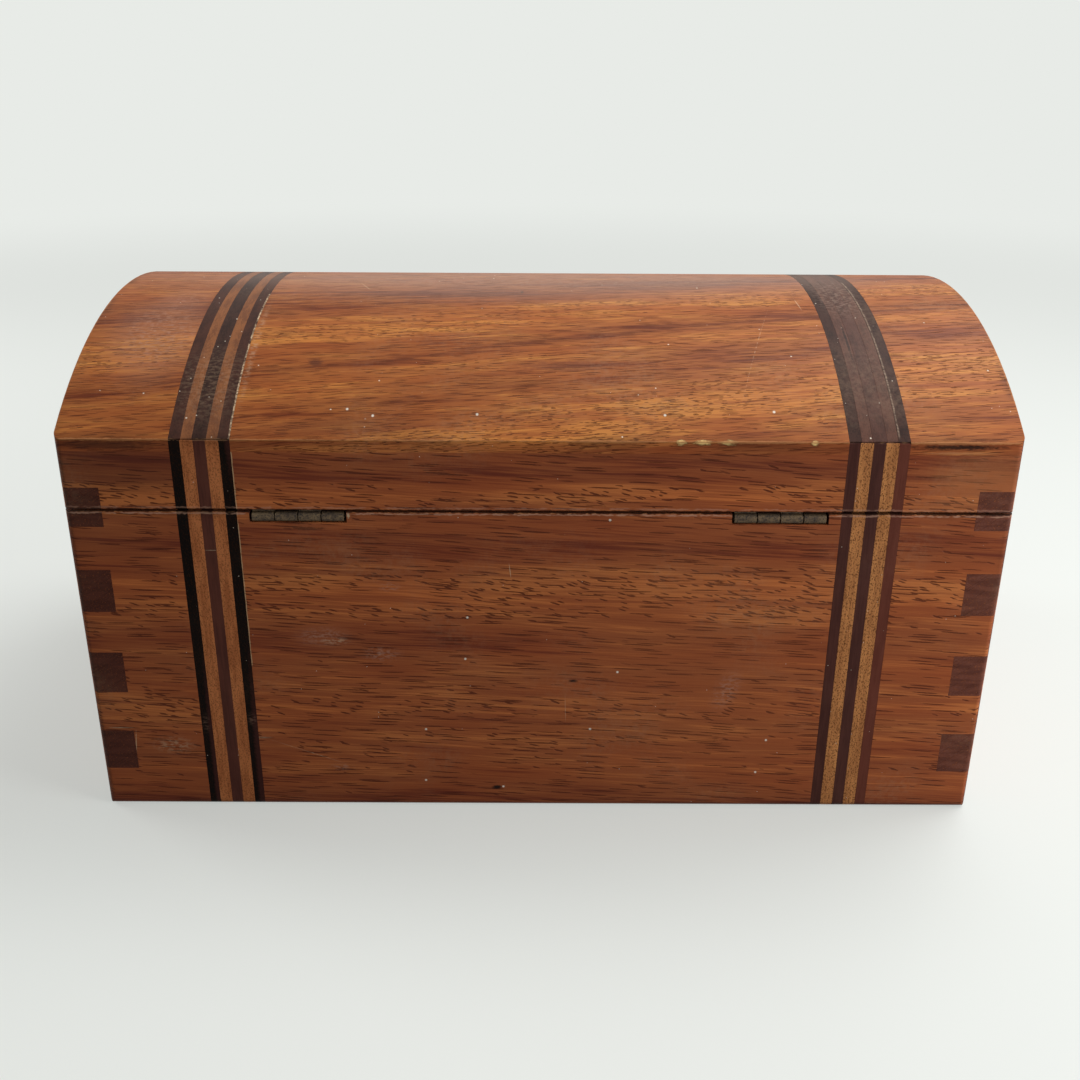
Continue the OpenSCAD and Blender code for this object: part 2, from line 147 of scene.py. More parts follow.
GLUE_BREAKS = Pattern(2, 2, 3.5, detail=2, rough=0.6, swing=0.35)
GLUE_CRUMBS = Pattern(0.55, 0.55, 0.55, detail=1)


class Graph:
    """Adds nodes to one tree and links them, so that a formula over a surface reads as one."""

    def __init__(self, tree: bpy.types.NodeTree) -> None:
        """Keeps the tree that the nodes go into."""
        self.tree = tree

    def feed(self, socket: Socket, value: Feed) -> None:
        """Links a socket to another one, or sets its plain value.

        Args:
            socket: The input to feed.
            value: An output socket, a number, a text, a vector or a colour.
        """
        if isinstance(value, bpy.types.NodeSocket):
            self.tree.links.new(value, socket)
        else:
            socket.default_value = value

    def node(
        self, kind: str, inputs: Optional[Dict[Union[str, int], Feed]] = None, **settings: object
    ) -> bpy.types.Node:
        """Adds a node, sets its options and feeds its inputs.

        Args:
            kind: The node's type name.
            inputs: Values or sockets by input name or number.
            **settings: Options of the node, such as its operation.

        Returns:
            The new node.
        """
        made = self.tree.nodes.new(kind)
        for name, value in settings.items():
            setattr(made, name, value)
        for key, value in (inputs or {}).items():
            self.feed(made.inputs[key], value)
        return made

    def math(self, operation: str, *values: Value) -> Socket:
        """One step of arithmetic on numbers."""
        return self.node("ShaderNodeMath", dict(enumerate(values)), operation=operation).outputs[0]

    def fold(self, operation: str, values: Sequence[Value]) -> Socket:
        """Repeats one step of arithmetic over a row of values.

        Args:
            operation: The step.
            values: Two or more values.

        Returns:
            What is left after the last value.
        """
        total = values[0]
        for value in values[1:]:
            total = self.math(operation, total, value)
        return total

    def add(self, *values: Value) -> Socket:
        """The sum of two or more values."""
        return self.fold("ADD", values)

    def times(self, *values: Value) -> Socket:
        """The product of two or more values."""
        return self.fold("MULTIPLY", values)

    def lowest(self, *values: Value) -> Socket:
        """The smallest of some values."""
        return self.fold("MINIMUM", values)

    def highest(self, *values: Value) -> Socket:
        """The largest of some values."""
        return self.fold("MAXIMUM", values)

    def less(self, a: Value, b: Value) -> Socket:
        """The first value minus the second."""
        return self.math("SUBTRACT", a, b)

    def swing(self, value: Value, width: float) -> Socket:
        """Turns a value around 0.5 into one around 0 that is so many times as wide."""
        return self.times(self.less(value, 0.5), width)

    def flip(self, value: Value) -> Socket:
        """One minus a value."""
        return self.math("SUBTRACT", 1.0, value)

    def size(self, value: Value) -> Socket:
        """A value without its sign."""
        return self.math("ABSOLUTE", value)

    def vector(self, operation: str, a: Place, b: Place) -> Socket:
        """One step of arithmetic on vectors."""
        return self.node("ShaderNodeVectorMath", {0: a, 1: b}, operation=operation).outputs[0]

    def scaled(self, place: Place, x: float, y: float, z: float) -> Socket:
        """A place in units of a length for each axis."""
        return self.vector("MULTIPLY", place, (1.0 / x, 1.0 / y, 1.0 / z))

    def split(self, place: Place) -> Tuple[Socket, Socket, Socket]:
        """The three parts of a vector."""
        made = self.node("ShaderNodeSeparateXYZ", {0: place})
        return made.outputs[0], made.outputs[1], made.outputs[2]

    def join(self, x: Value, y: Value, z: Value) -> Socket:
        """A vector from its three parts."""
        return self.node("ShaderNodeCombineXYZ", {0: x, 1: y, 2: z}).outputs[0]

    def noise(self, place: Place, pattern: Pattern) -> Socket:
        """Smooth noise over a place.

        Args:
            place: The place in millimetres.
            pattern: The sizes of the noise's grains.

        Returns:
            The noise, from 0 to 1 around 0.5.
        """
        grains = self.scaled(place, pattern.along, pattern.into, pattern.across)
        inputs = {"Vector": grains, "Scale": 1.0, "Detail": pattern.detail, "Roughness": pattern.rough}
        return self.node("ShaderNodeTexNoise", inputs).outputs[0]

    def cells(self, place: Place, flat: bool = False) -> Tuple[Socket, Socket, Socket]:
        """Points scattered one to each unit of the place.

        Args:
            place: The place.
            flat: Whether only its first two parts count.

        Returns:
            The distance to the nearest point, and two chances from 0 to 1 drawn for it.
        """
        inputs = {"Vector": place, "Scale": 1.0, "Randomness": 1.0}
        spread = "2D" if flat else "3D"
        made = self.node("ShaderNodeTexVoronoi", inputs, feature="F1", voronoi_dimensions=spread)
        first, second, _ = self.split(made.outputs["Color"])
        return made.outputs["Distance"], first, second

    def step(self, value: Value, low: Value, high: Value) -> Socket:
        """Rises smoothly from 0 to 1 as a value goes from low to high."""
        inputs = {"Value": value, "From Min": low, "From Max": high}
        return self.node("ShaderNodeMapRange", inputs, interpolation_type="SMOOTHSTEP").outputs[0]

    def below(self, value: Value, reach: Value, soft: float = 0.5) -> Socket:
        """One where a value is well under a reach, fading to zero at the reach."""
        end = self.highest(reach, 0.0001)
        return self.flip(self.step(value, self.times(end, soft), end))

    def line(self, value: Value, level: Value, half: Value) -> Socket:
        """A line where a value is at a level, fading to 0 at half its width."""
        return self.below(self.size(self.less(value, level)), half, 0.35)

    def between(self, value: Value, low: float, high: float, soft: float) -> Socket:
        """One between two levels, with soft ends."""
        risen = self.step(value, low - soft, low)
        return self.times(risen, self.flip(self.step(value, high, high + soft)))

    def mix(self, share: Value, a: Union[Colour, Socket], b: Union[Colour, Socket]) -> Socket:
        """Two colours mixed by a share."""
        return self.node("ShaderNodeMix", {0: share, 6: a, 7: b}, data_type="RGBA").outputs[2]

    def tinted(self, colour: Socket, tint: Union[Colour, Socket]) -> Socket:
        """A colour multiplied by another."""
        inputs = {0: 1.0, 6: colour, 7: tint}
        return self.node("ShaderNodeMix", inputs, data_type="RGBA", blend_type="MULTIPLY").outputs[2]

    def blend(self, share: Value, a: Value, b: Value) -> Socket:
        """Two numbers mixed by a share."""
        return self.node("ShaderNodeMix", {0: share, 2: a, 3: b}, data_type="FLOAT").outputs[0]

    def curve(self, value: Value, stops: Pairs) -> Socket:
        """A number looked up along a value.

        Args:
            value: The value to look up.
            stops: Values with their numbers, in rising order.

        Returns:
            The number at the value.
        """
        low = stops[0][0]
        span = stops[-1][0] - low
        share = self.math("DIVIDE", self.less(value, low), span)
        made = self.node("ShaderNodeValToRGB", {0: share})
        made.color_ramp.interpolation = "EASE"
        elements = made.color_ramp.elements
        elements.remove(elements[-1])
        for index, (place, number) in enumerate(stops):
            stop = elements[0] if index == 0 else elements.new((place - low) / span)
            stop.position = (place - low) / span
            stop.color = (number, number, number, 1.0)
        return self.node("ShaderNodeRGBToBW", {0: made.outputs[0]}).outputs[0]


# ---- Shared effects ----


class Effect(Enum):
    """The effects that the finishes share."""

    OPEN_GRAIN = "open_grain"
    CLOSE_GRAIN = "close_grain"
    EDGE_WEAR = "edge_wear"
    DUST = "dust"
    SPOT = "spot"
    PATINA = "patina"


class Effects:
    """Node groups for the shared effects, each built once. Places are in millimetres."""

    KINDS: ClassVar[Dict[str, str]] = {
        "float": "NodeSocketFloat",
        "vector": "NodeSocketVector",
        "colour": "NodeSocketColor",
    }
    built: ClassVar[Dict[Effect, bpy.types.NodeTree]] = {}

    @classmethod
    def place(cls, g: Graph, effect: Effect, inputs: Dict[str, Feed]) -> bpy.types.Node:
        """Places an effect in a finish.

        Args:
            g: The finish's graph.
            effect: The effect.
            inputs: Values or sockets for the effect's inputs.

        Returns:
            The effect's node, whose outputs carry it.
        """
        if effect not in cls.built:
            tree = bpy.data.node_groups.new(effect.value, "ShaderNodeTree")
            getattr(cls, effect.value)(tree)
            cls.built[effect] = tree
        made = g.node("ShaderNodeGroup", node_tree=cls.built[effect])
        for name, value in inputs.items():
            g.feed(made.inputs[name], value)
        return made

    @classmethod
    def opened(
        cls, tree: bpy.types.NodeTree, takes: Dict[str, str], gives: Dict[str, str]
    ) -> Tuple[Graph, Dict[str, Socket], bpy.types.Node]:
        """Makes a group's sockets and its two end nodes.

        Args:
            tree: The group.
            takes: Kinds of the inputs by name.
            gives: Kinds of the outputs by name.

        Returns:
            The group's graph, its inputs by name and its output node.
        """
        for sockets, way in ((takes, "INPUT"), (gives, "OUTPUT")):
            for name, kind in sockets.items():
                tree.interface.new_socket(name=name, in_out=way, socket_type=cls.KINDS[kind])
        graph = Graph(tree)
        source = graph.node("NodeGroupInput")
        return graph, {name: source.outputs[name] for name in takes}, graph.node("NodeGroupOutput")

    @classmethod
    def open_grain(cls, tree: bpy.types.NodeTree) -> None:
        """Open-pored hardwood: streaks, fibres, short and long pores, and dark end grain.

        Args:
            tree: The group to fill. Its place runs along the grain on X.
        """
        numbers = ("Tone", "Ticks", "Lines", "Tick Slope", "Line Slope", "End Grain")
        colours = ("Dark", "Middle", "Light", "Pore Colour", "End Colour")
        takes = {"Place": "vector", **dict.fromkeys(numbers, "float"), **dict.fromkeys(colours, "colour")}
        g, given, result = cls.opened(tree, takes, {"Color": "colour", "Height": "float"})
        place = given["Place"]
        along, deep, across = g.split(place)
        drift = g.swing(g.noise(place, GRAIN_DRIFT), GRAIN_DRIFT.swing)
        ripple = g.swing(g.noise(place, GRAIN_RIPPLE), GRAIN_RIPPLE.swing)
        bent = g.add(across, drift, g.times(along, given["Line Slope"]))
        line_place = g.join(along, deep, bent)

        streaks = g.noise(line_place, STREAKS)
        fibres = g.noise(line_place, FIBRES)
        clouds = g.noise(place, GRAIN_CLOUDS)
        level = g.add(
            given["Tone"],
            g.swing(streaks, STREAKS.swing),
            g.swing(fibres, FIBRES.swing),
            g.swing(clouds, GRAIN_CLOUDS.swing),
        )
        low = g.mix(g.step(level, -0.1, 0.5), given["Dark"], given["Middle"])
        colour = g.mix(g.step(level, 0.5, 1.1), low, given["Light"])
        colour = g.tinted(colour, g.mix(clouds, WARM, COOL))

        ragged = g.swing(g.noise(line_place, PORE_OUTLINE), PORE_OUTLINE.swing)
        lit = g.step(given["Tone"], 0.52, 0.86)
        crowd = g.times(g.step(clouds, 0.24, 0.52), g.add(0.05, g.times(lit, 0.95)))
        sunk = g.times(deep, 0.7)
        tick_across = g.add(across, ripple, g.times(along, given["Tick Slope"]), sunk)
        ticks = cls.pores(g, SHORT_PORES, (along, tick_across), ragged, g.times(crowd, given["Ticks"]))
        line_across = g.add(bent, g.times(ripple, 0.3), sunk)
        line_share = g.times(given["Lines"], g.add(0.2, clouds))
        lines = cls.pores(g, LONG_PORES, (along, line_across), g.times(ragged, 0.6), line_share)
        pores = g.highest(ticks, lines)
        colour = g.mix(g.times(pores, 0.86), colour, given["Pore Colour"])

        speck = g.noise(place, END_PORES)
        rings = g.noise(place, END_RINGS)
        end = g.tinted(given["End Colour"], g.mix(g.step(rings, 0.36, 0.64), DARK_RING, LIGHT_RING))
        end = g.mix(g.times(g.step(speck, 0.36, 0.52), 0.4), end, given["Pore Colour"])
        end = g.mix(g.times(g.step(speck, 0.58, 0.70), 0.30), end, given["Light"])
        g.feed(result.inputs["Color"], g.mix(given["End Grain"], colour, end))
        g.feed(result.inputs["Height"], g.less(g.times(fibres, 0.25), pores))

    @staticmethod
    def pores(
        g: Graph, room: PoreRoom, place: Tuple[Socket, Socket], ragged: Socket, share: Socket
    ) -> Socket:
        """Scattered spindles of uneven size.

        Args:
            g: The graph.
            room: The room of one pore.
            place: The place along and across the face, in millimetres.
            ragged: Noise around zero that roughens their outline.
            share: How many of the rooms hold one, from 0 to 1.

        Returns:
            One inside a pore and zero outside.
        """
        rooms = g.join(g.times(place[0], 1 / room.length), g.times(place[1], 1 / room.width), 0.0)
        near, chance, size = g.cells(rooms, flat=True)
        there = g.step(share, chance, g.add(chance, 0.08))
        reach_here = g.times(g.add(0.55, g.times(size, 0.45)), room.reach)
        return g.times(g.below(g.add(near, ragged), reach_here, 0.68), there)

    @classmethod
    def close_grain(cls, tree: bpy.types.NodeTree) -> None:
        """Fine inlay wood: faint fibres along the strip, darker clouds and small flecks.

        Args:
            tree: The group to fill. Its place runs along the strip on X.
        """
        takes = {"Place": "vector", "Base": "colour", "Shade": "colour", "Fleck": "colour"}
        takes.update(dict.fromkeys(("Flecks", "Mottle"), "float"))
        g, given, result = cls.opened(tree, takes, {"Color": "colour", "Height": "float"})
        place = given["Place"]
        fibres = g.noise(place, STRIP_FIBRES)
        cloud = g.noise(place, STRIP_CLOUDS)
        depth = g.add(0.5, g.swing(fibres, STRIP_FIBRES.swing), g.swing(cloud, STRIP_CLOUDS.swing))
        shade = g.step(depth, 0.1, 0.95)
        colour = g.mix(g.times(given["Mottle"], shade), given["Base"], given["Shade"])
        grains = g.noise(place, STRIP_FLECKS)
        flecks = g.times(given["Flecks"], g.step(grains, 0.50, 0.64))
        g.feed(result.inputs["Color"], g.mix(flecks, colour, given["Fleck"]))
        g.feed(result.inputs["Height"], g.less(g.times(fibres, 0.3), flecks))

    @classmethod
    def edge_wear(cls, tree: bpy.types.NodeTree) -> None:
        """Where hands and knocks have rubbed the finish off the edges of a box.

        Args:
            tree: The group to fill. It takes the distances to the ends, to the long faces
                and to the nearest level edge, and the width of the worn line.
        """
        takes = {"Place": "vector", **dict.fromkeys(("To End", "To Face", "To Level", "Width"), "float")}
        g, given, result = cls.opened(tree, takes, {"Mask": "float", "Grime": "float"})
        parts = (given["To End"], given["To Face"], given["To Level"])
        second = g.less(g.add(*parts), g.add(g.lowest(*parts), g.highest(*parts)))
        away = g.math("DIVIDE", second, given["Width"])
        ragged = g.noise(given["Place"], RUB_OUTLINE)
        patches = g.noise(given["Place"], RUB_PATCHES)
        reach = g.add(g.times(ragged, 1.8), g.times(patches, 1.6), -1.1)
        g.feed(result.inputs["Mask"], g.below(away, reach, 0.65))
        g.feed(result.inputs["Grime"], g.times(g.below(away, 6.0, 0.1), g.step(patches, 0.4, 0.7)))

    @classmethod
    def dust(cls, tree: bpy.types.NodeTree) -> None:
        """Pale specks, a thin film that lies thicker in patches, and fine scratches.

        Args:
            tree: The group to fill.
        """
        takes = {"Place": "vector", **dict.fromkeys(("Specks", "Film", "Scratches"), "float")}
        gives = dict.fromkeys(("Specks", "Film", "Scratches"), "float")
        g, given, result = cls.opened(tree, takes, gives)
        place = given["Place"]
        near, chance, width = g.cells(g.scaled(place, *SPECK_ROOM))
        reach = g.add(0.045, g.times(width, width, 0.10))
        there = g.step(given["Specks"], chance, g.add(chance, 0.05))
        g.feed(result.inputs["Specks"], g.times(g.below(near, reach, 0.7), there))
        cloud = g.noise(place, DUST_CLOUDS)
        grit = g.noise(place, DUST_GRIT)
        film = g.times(g.step(cloud, 0.46, 0.74), g.step(grit, 0.30, 0.74), given["Film"])
        g.feed(result.inputs["Film"], film)
        along, deep, across = g.split(place)
        leaning = g.join(g.add(along, g.times(across, 0.17), g.times(cloud, 9.0)), deep, across)
        near, chance, _ = g.cells(g.scaled(leaning, *SCRATCH_ROOM))
        stroke = g.times(g.below(near, 0.022), g.step(chance, 0.4, 0.5), g.step(grit, 0.35, 0.6))
        g.feed(result.inputs["Scratches"], g.times(stroke, given["Scratches"]))

    @classmethod
    def spot(cls, tree: bpy.types.NodeTree) -> None:
        """One ragged spot, streak or scratch on a face.

        Args:
            tree: The group to fill.
        """
        takes = {"Place": "vector", "Centre": "vector", "Half Size": "vector"}
        takes.update(dict.fromkeys(("Lean", "Rag", "Grit"), "float"))
        g, given, result = cls.opened(tree, takes, {"Mask": "float"})
        along, _, across = g.split(g.vector("SUBTRACT", given["Place"], given["Centre"]))
        leaning = g.join(g.less(along, g.times(across, given["Lean"])), 0.0, across)
        shrunk = g.vector("DIVIDE", leaning, given["Half Size"])
        away = g.node("ShaderNodeVectorMath", {0: shrunk}, operation="LENGTH").outputs["Value"]
        grit = g.noise(given["Place"], MARK_GRIT)
        body = g.below(g.add(away, g.times(g.swing(grit, MARK_GRIT.swing), given["Rag"])), 1.0, 0.3)
        thinned = g.blend(given["Grit"], 1.0, g.step(grit, 0.44, 0.66))
        g.feed(result.inputs["Mask"], g.times(body, thinned))

    @classmethod
    def patina(cls, tree: bpy.types.NodeTree) -> None:
        """Tarnish, dark stains and drawing lines of old brass.

        Args:
            tree: The group to fill.
        """
        takes = {"Place": "vector", "Bright": "colour", "Dull": "colour", "Stain": "colour"}
        gives = {"Color": "colour", "Tarnish": "float", "Height": "float"}
        g, given, result = cls.opened(tree, takes, gives)
        cloud = g.noise(given["Place"], TARNISH_CLOUDS)
        grit = g.noise(given["Place"], TARNISH_GRIT)
        drawn = g.noise(given["Place"], DRAWING_LINES)
        tarnish = g.step(g.add(cloud, g.swing(grit, TARNISH_GRIT.swing)), 0.36, 0.66)
        colour = g.mix(tarnish, given["Bright"], given["Dull"])
        g.feed(result.inputs["Color"], g.mix(g.step(grit, 0.50, 0.70), colour, given["Stain"]))
        g.feed(result.inputs["Tarnish"], tarnish)
        g.feed(result.inputs["Height"], g.less(g.times(drawn, 0.3), g.times(grit, 0.7)))


# ---- The box's own measures, read from the frame ----


@dataclass(frozen=True)
class BoxMeasures:
    """Levels and half sizes of the box, in millimetres."""

    half_w: float
    half_d: float
    seam: float
    lid_low: float
    arris: float
    crown: float
    band_x: float
    band_w: float

    @classmethod
    def from_frame(cls) -> "BoxMeasures":
        """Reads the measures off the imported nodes.

        Returns:
            The measures.
        """
        _, wall_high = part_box("rear_wall")
        _, dome_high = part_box("dome_board")
        rail_low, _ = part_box("lid_rear_rail")
        strip_low, strip_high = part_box("lid_rear_right_edge_strips")
        return cls(
            half_w=wall_high.x * PER_METRE,
            half_d=wall_high.y * PER_METRE,
            seam=wall_high.z * PER_METRE,
            lid_low=rail_low.z * PER_METRE,
            arris=strip_high.z * PER_METRE,
            crown=dome_high.z * PER_METRE,
            band_x=(strip_low.x + strip_high.x) / 2 * PER_METRE,
            band_w=(strip_high.x - strip_low.x) * PER_METRE,
        )

    @property
    def band_inner(self) -> float:
        """How far the inner edge of a band is from the middle."""
        return self.band_x - self.band_w / 2

    @property
    def band_outer(self) -> float:
        """How far the outer edge of a band is from the middle."""
        return self.band_x + self.band_w / 2

    @property
    def dome_r(self) -> float:
        """Radius of the dome, from its width and its rise."""
        rise = self.crown - self.arris
        return (self.half_d**2 + rise**2) / (2 * rise)

    @property
    def dome_axis(self) -> float:
        """Level of the dome's axis."""
        return self.crown - self.dome_r


BOX = BoxMeasures.from_frame()


# ---- Finishes ----


SEED_SHIFT = (131.0, 17.0, 53.0)


class Grain(Enum):
    """Which way the grain of a piece runs, by the number of its axis."""

    ALONG_X = 0
    ALONG_Y = 1


class Shell(Enum):
    """Which half of the box a piece belongs to, for the wear of its outer edges."""

    BODY = "body"
    LID = "lid"


class Surface:
    """One material while it is made: its graph and the places on the piece."""

    def __init__(self, name: str) -> None:
        """Starts a material and finds the place on the piece in millimetres.

        Args:
            name: The material's name.
        """
        self.material = bpy.data.materials.new(name)
        self.material.use_nodes = True
        self.material.node_tree.nodes.clear()
        self.graph = Graph(self.material.node_tree)
        coordinates = self.graph.node("ShaderNodeTexCoord")
        self.place = self.graph.vector("MULTIPLY", coordinates.outputs["Object"], (PER_METRE,) * 3)
        self.facing = self.graph.split(coordinates.outputs["Normal"])
        self.x, self.y, self.z = self.graph.split(self.place)

    def edge_distances(self, shell: Shell) -> Dict[str, Socket]:
        """Distances from a place to the outer faces of its half of the box.

        Args:
            shell: The half of the box.

        Returns:
            The distances to the ends, to the long faces and to the top or bottom.
        """
        g = self.graph
        if shell is Shell.BODY:
            to_level = g.lowest(g.size(self.z), g.less(BOX.seam, self.z))
        else:
            above = g.less(self.z, BOX.dome_axis)
            reach = g.math("SQRT", g.add(g.times(self.y, self.y), g.times(above, above)))
            to_level = g.size(g.less(BOX.dome_r, reach))
        to_end = g.less(BOX.half_w, g.size(self.x))
        to_face = g.less(BOX.half_d, g.size(self.y))
        return {"To End": to_end, "To Face": to_face, "To Level": to_level}

    def close(
        self,
        colour: Socket,
        rough: Socket,
        height: Socket,
        depth: float,
        **plain: float,
    ) -> bpy.types.Material:
        """Ends the material with one surface shader.

        Args:
            colour: The base colour.
            rough: The roughness.
            height: The relief, in units of its depth.
            depth: The relief's depth in millimetres.
            **plain: Shader inputs that stay the same all over, with _ for each space.

        Returns:
            The finished material.
        """
        g = self.graph
        bump = g.node("ShaderNodeBump", {"Height": height, "Distance": depth * MM})
        inputs = {"Base Color": colour, "Roughness": rough, "Normal": bump.outputs[0]}
        shader = g.node("ShaderNodeBsdfPrincipled", inputs)
        for name, value in plain.items():
            g.feed(shader.inputs[name.replace("_", " ")], value)
        output = g.node("ShaderNodeOutputMaterial")
        g.tree.links.new(shader.outputs[0], output.inputs[0])
        return self.material


@dataclass(frozen=True)
class Spot:
    """A single mark seen from outside: a knot, a filled hole, a scuff or a scratch.

    The middle and the half sizes are in millimetres. Lean is the mark's slant, rag roughens
    its outline and grit breaks it up.
    """

    x: float
    level: float
    half_w: float
    half_h: float
    colour: Colour
    strength: float = 1.0
    lean: float = 0.0
    rag: float = 0.4
    grit: float = 0.0


@dataclass(frozen=True)
class GlueLine:
    """A thin broken line of old glue along a joint that runs up the box, in millimetres."""

    x: float
    low: float
    high: float
    half_w: float = 0.14
    strength: float = 0.8
    colour: Colour = tone(214, 178, 136)
    crumbled: float = 0.0


@dataclass(frozen=True)
class Wear:
    """How rubbed and how dusty a finish is, and the width of each worn line in millimetres."""

    width: float = 0.34
    strength: float = 0.65
    colour: Colour = tone(190, 128, 82)
    # Strength of the soiling near the edges and of the painted shade along the seam.
    grime_and_seam_shade: float = 0.35
    film: float = 0.25
    film_colour: Colour = tone(178, 140, 110)
    specks: float = 0.14
    scratches: float = 0.5
    outside: float = 0.9
    # Reach of the painted shade along the seam.
    seam_shade_reach: float = 0.20
    # The pale rim beside the seam: wear, and partly a painted highlight of the lit edge.
    rim: float = 0.6
    lid_rim: float = 0.3
    rim_level: float = 0.44
    rim_half: float = 0.24
    rim_highlight_colour: Colour = tone(206, 160, 136)


@dataclass(frozen=True)
class WoodFinish:
    """What every wooden finish shares: marks, glue, rubbed edges, dust and a dull oil shine.

    The relief is in millimetres, and the seed moves the grain of one piece away from another's.
    """

    name: str
    shell: Shell = Shell.BODY
    seed: float = 0.0
    wear: Wear = Wear()
    spots: Tuple[Spot, ...] = ()
    glue: Tuple[GlueLine, ...] = ()
    over_dome: bool = False
    rough: float = 0.50
    shine: float = 0.09
    relief: float = 0.06

    def wood(self, surface: Surface) -> Tuple[Socket, Socket]:
        """The bare wood's colour and relief."""
        raise NotImplementedError

    def level(self, surface: Surface) -> Socket:
        """The way up the box on this piece.

        Args:
            surface: The material being made.

        Returns:
            The height or, over the dome, the way on from the rear arris.
        """
        g = surface.graph
        if not self.over_dome:
            return surface.z
        return g.add(g.less(BOX.half_d, surface.y), g.lowest(g.less(surface.z, BOX.arris), 0.0))

    def material(self) -> bpy.types.Material:
        """Builds the finish.

        Returns:
            The material for one piece.
        """
        surface = Surface(self.name)
        g = surface.graph
        bare, height = self.wood(surface)
        marked = self.add_glue(surface, self.add_spots(surface, bare))
        colour = g.mix(self.outer_face(surface), bare, marked)
        colour, rubbed = self.add_rubbing(surface, colour)
        colour, film, scratches = self.add_dust(surface, colour)
        dulled = g.add(rubbed, film, scratches)
        rough = g.add(self.rough, g.times(height, -0.12), g.times(dulled, 0.25))
        relief = g.less(height, g.times(rubbed, 0.8))
        return surface.close(colour, rough, relief, self.relief, Specular_IOR_Level=self.shine)

    def add_rubbing(self, surface: Surface, colour: Socket) -> Tuple[Socket, Socket]:
        """Rubs the finish off the edges, and adds dark soiling near the edges, a painted shade along the seam
        and a pale rim beside it, which is wear and partly a painted highlight of the lit edge.

        Args:
            surface: The material being made.
            colour: The colour so far.

        Returns:
            The new colour, and how far the finish is rubbed off, from 0 to 1.
        """
        g = surface.graph
        wear = self.wear
        away = surface.edge_distances(self.shell)
        edges = Effects.place(g, Effect.EDGE_WEAR, {"Place": surface.place, "Width": wear.width, **away})
        seam = g.lowest(g.size(g.less(surface.z, BOX.seam)), g.size(g.less(surface.z, BOX.lid_low)))
        outside = g.below(g.lowest(away["To End"], away["To Face"]), wear.outside, 0.4)
        chafed = g.noise(surface.place, SEAM_CHAFING)
        chipped = g.noise(surface.place, SEAM_CHIPS)
        ragged_seam = g.add(seam, g.swing(chipped, SEAM_CHIPS.swing))
        # Painted shade along the seam: a dark band on both sides of the joint, darkened together with the
        # soiling of the edges.
        seam_shade = g.times(g.below(ragged_seam, wear.seam_shade_reach, 0.6), outside)
        grime_and_seam_shade = g.times(g.highest(edges.outputs["Grime"], g.times(seam_shade, 2.4)), wear.grime_and_seam_shade)
        colour = g.mix(g.lowest(grime_and_seam_shade, 1.0), colour, SOOT_AND_SEAM_SHADE)
        rubbed = g.times(edges.outputs["Mask"], g.flip(seam_shade), wear.strength)
        colour = g.mix(rubbed, colour, wear.colour)
        # The pale rim beside the seam is chafed wear and partly a painted highlight of the lit edge.
        share = wear.lid_rim if self.shell is Shell.LID else wear.rim
        rim_line = g.line(ragged_seam, wear.rim_level, wear.rim_half)
        rim = g.times(rim_line, outside, g.step(chafed, 0.36, 0.54), share)
        return g.mix(rim, colour, wear.rim_highlight_colour), rubbed

    def add_dust(self, surface: Surface, colour: Socket) -> Tuple[Socket, Socket, Socket]:
        """Lays the film, the fine scratches and the specks over a colour.

        Args:
            surface: The material being made.
            colour: The colour so far.

        Returns:
            The new colour, and the masks of the film and of the scratches.
        """
        g = surface.graph
        inputs = {"Specks": self.wear.specks, "Film": self.wear.film, "Scratches": self.wear.scratches}
        dust = Effects.place(g, Effect.DUST, {"Place": surface.place, **inputs}).outputs
        colour = g.mix(dust["Film"], colour, self.wear.film_colour)
        colour = g.mix(g.times(dust["Scratches"], 0.8), colour, SCRATCH)
        colour = g.mix(g.times(dust["Specks"], 0.9), colour, SPECK)
        return colour, dust["Film"], dust["Scratches"]

    def outer_face(self, surface: Surface) -> Socket:
        """Finds the faces that carry the piece's single marks.

        Args:
            surface: The material being made.

        Returns:
            One on the faces that are turned to the rear or, on the dome, up.
        """
        g = surface.graph
        _, rearward, upward = surface.facing
        turned = g.highest(rearward, upward) if self.over_dome else rearward
        return g.step(turned, 0.25, 0.45)

    def add_spots(self, surface: Surface, colour: Socket) -> Socket:
        """Puts the piece's single marks on its colour.

        Args:
            surface: The material being made.
            colour: The colour so far.

        Returns:
            The new colour.
        """
        g = surface.graph
        if not self.spots:
            return colour
        place = g.join(surface.x, 0.0, self.level(surface))
        for spot in self.spots:
            inputs = {
                "Place": place,
                "Centre": (spot.x, 0.0, spot.level),
                "Half Size": (spot.half_w, 1.0, spot.half_h),
                "Lean": spot.lean,
                "Rag": spot.rag,
                "Grit": spot.grit,
            }
            mask = Effects.place(g, Effect.SPOT, inputs).outputs["Mask"]
            colour = g.mix(g.times(mask, spot.strength), colour, spot.colour)
        return colour

    def add_glue(self, surface: Surface, colour: Socket) -> Socket:
        """Draws the pale glue lines beside the bands.

        Args:
            surface: The material being made.
            colour: The colour so far.

        Returns:
            The new colour.
        """
        g = surface.graph
        if not self.glue:
            return colour
        broken = g.noise(surface.place, GLUE_BREAKS)
        crumbs = g.step(g.noise(surface.place, GLUE_CRUMBS), 0.44, 0.60)
        for line in self.glue:
            on = g.line(g.add(surface.x, g.swing(broken, GLUE_BREAKS.swing)), line.x, line.half_w)
            within = g.between(self.level(surface), line.low, line.high, 1.5)
            share = g.times(on, within, g.step(broken, 0.30, 0.48), line.strength)
            share = g.times(share, g.blend(line.crumbled, 1.0, crumbs))
            colour = g.mix(share, colour, line.colour)
        return colour


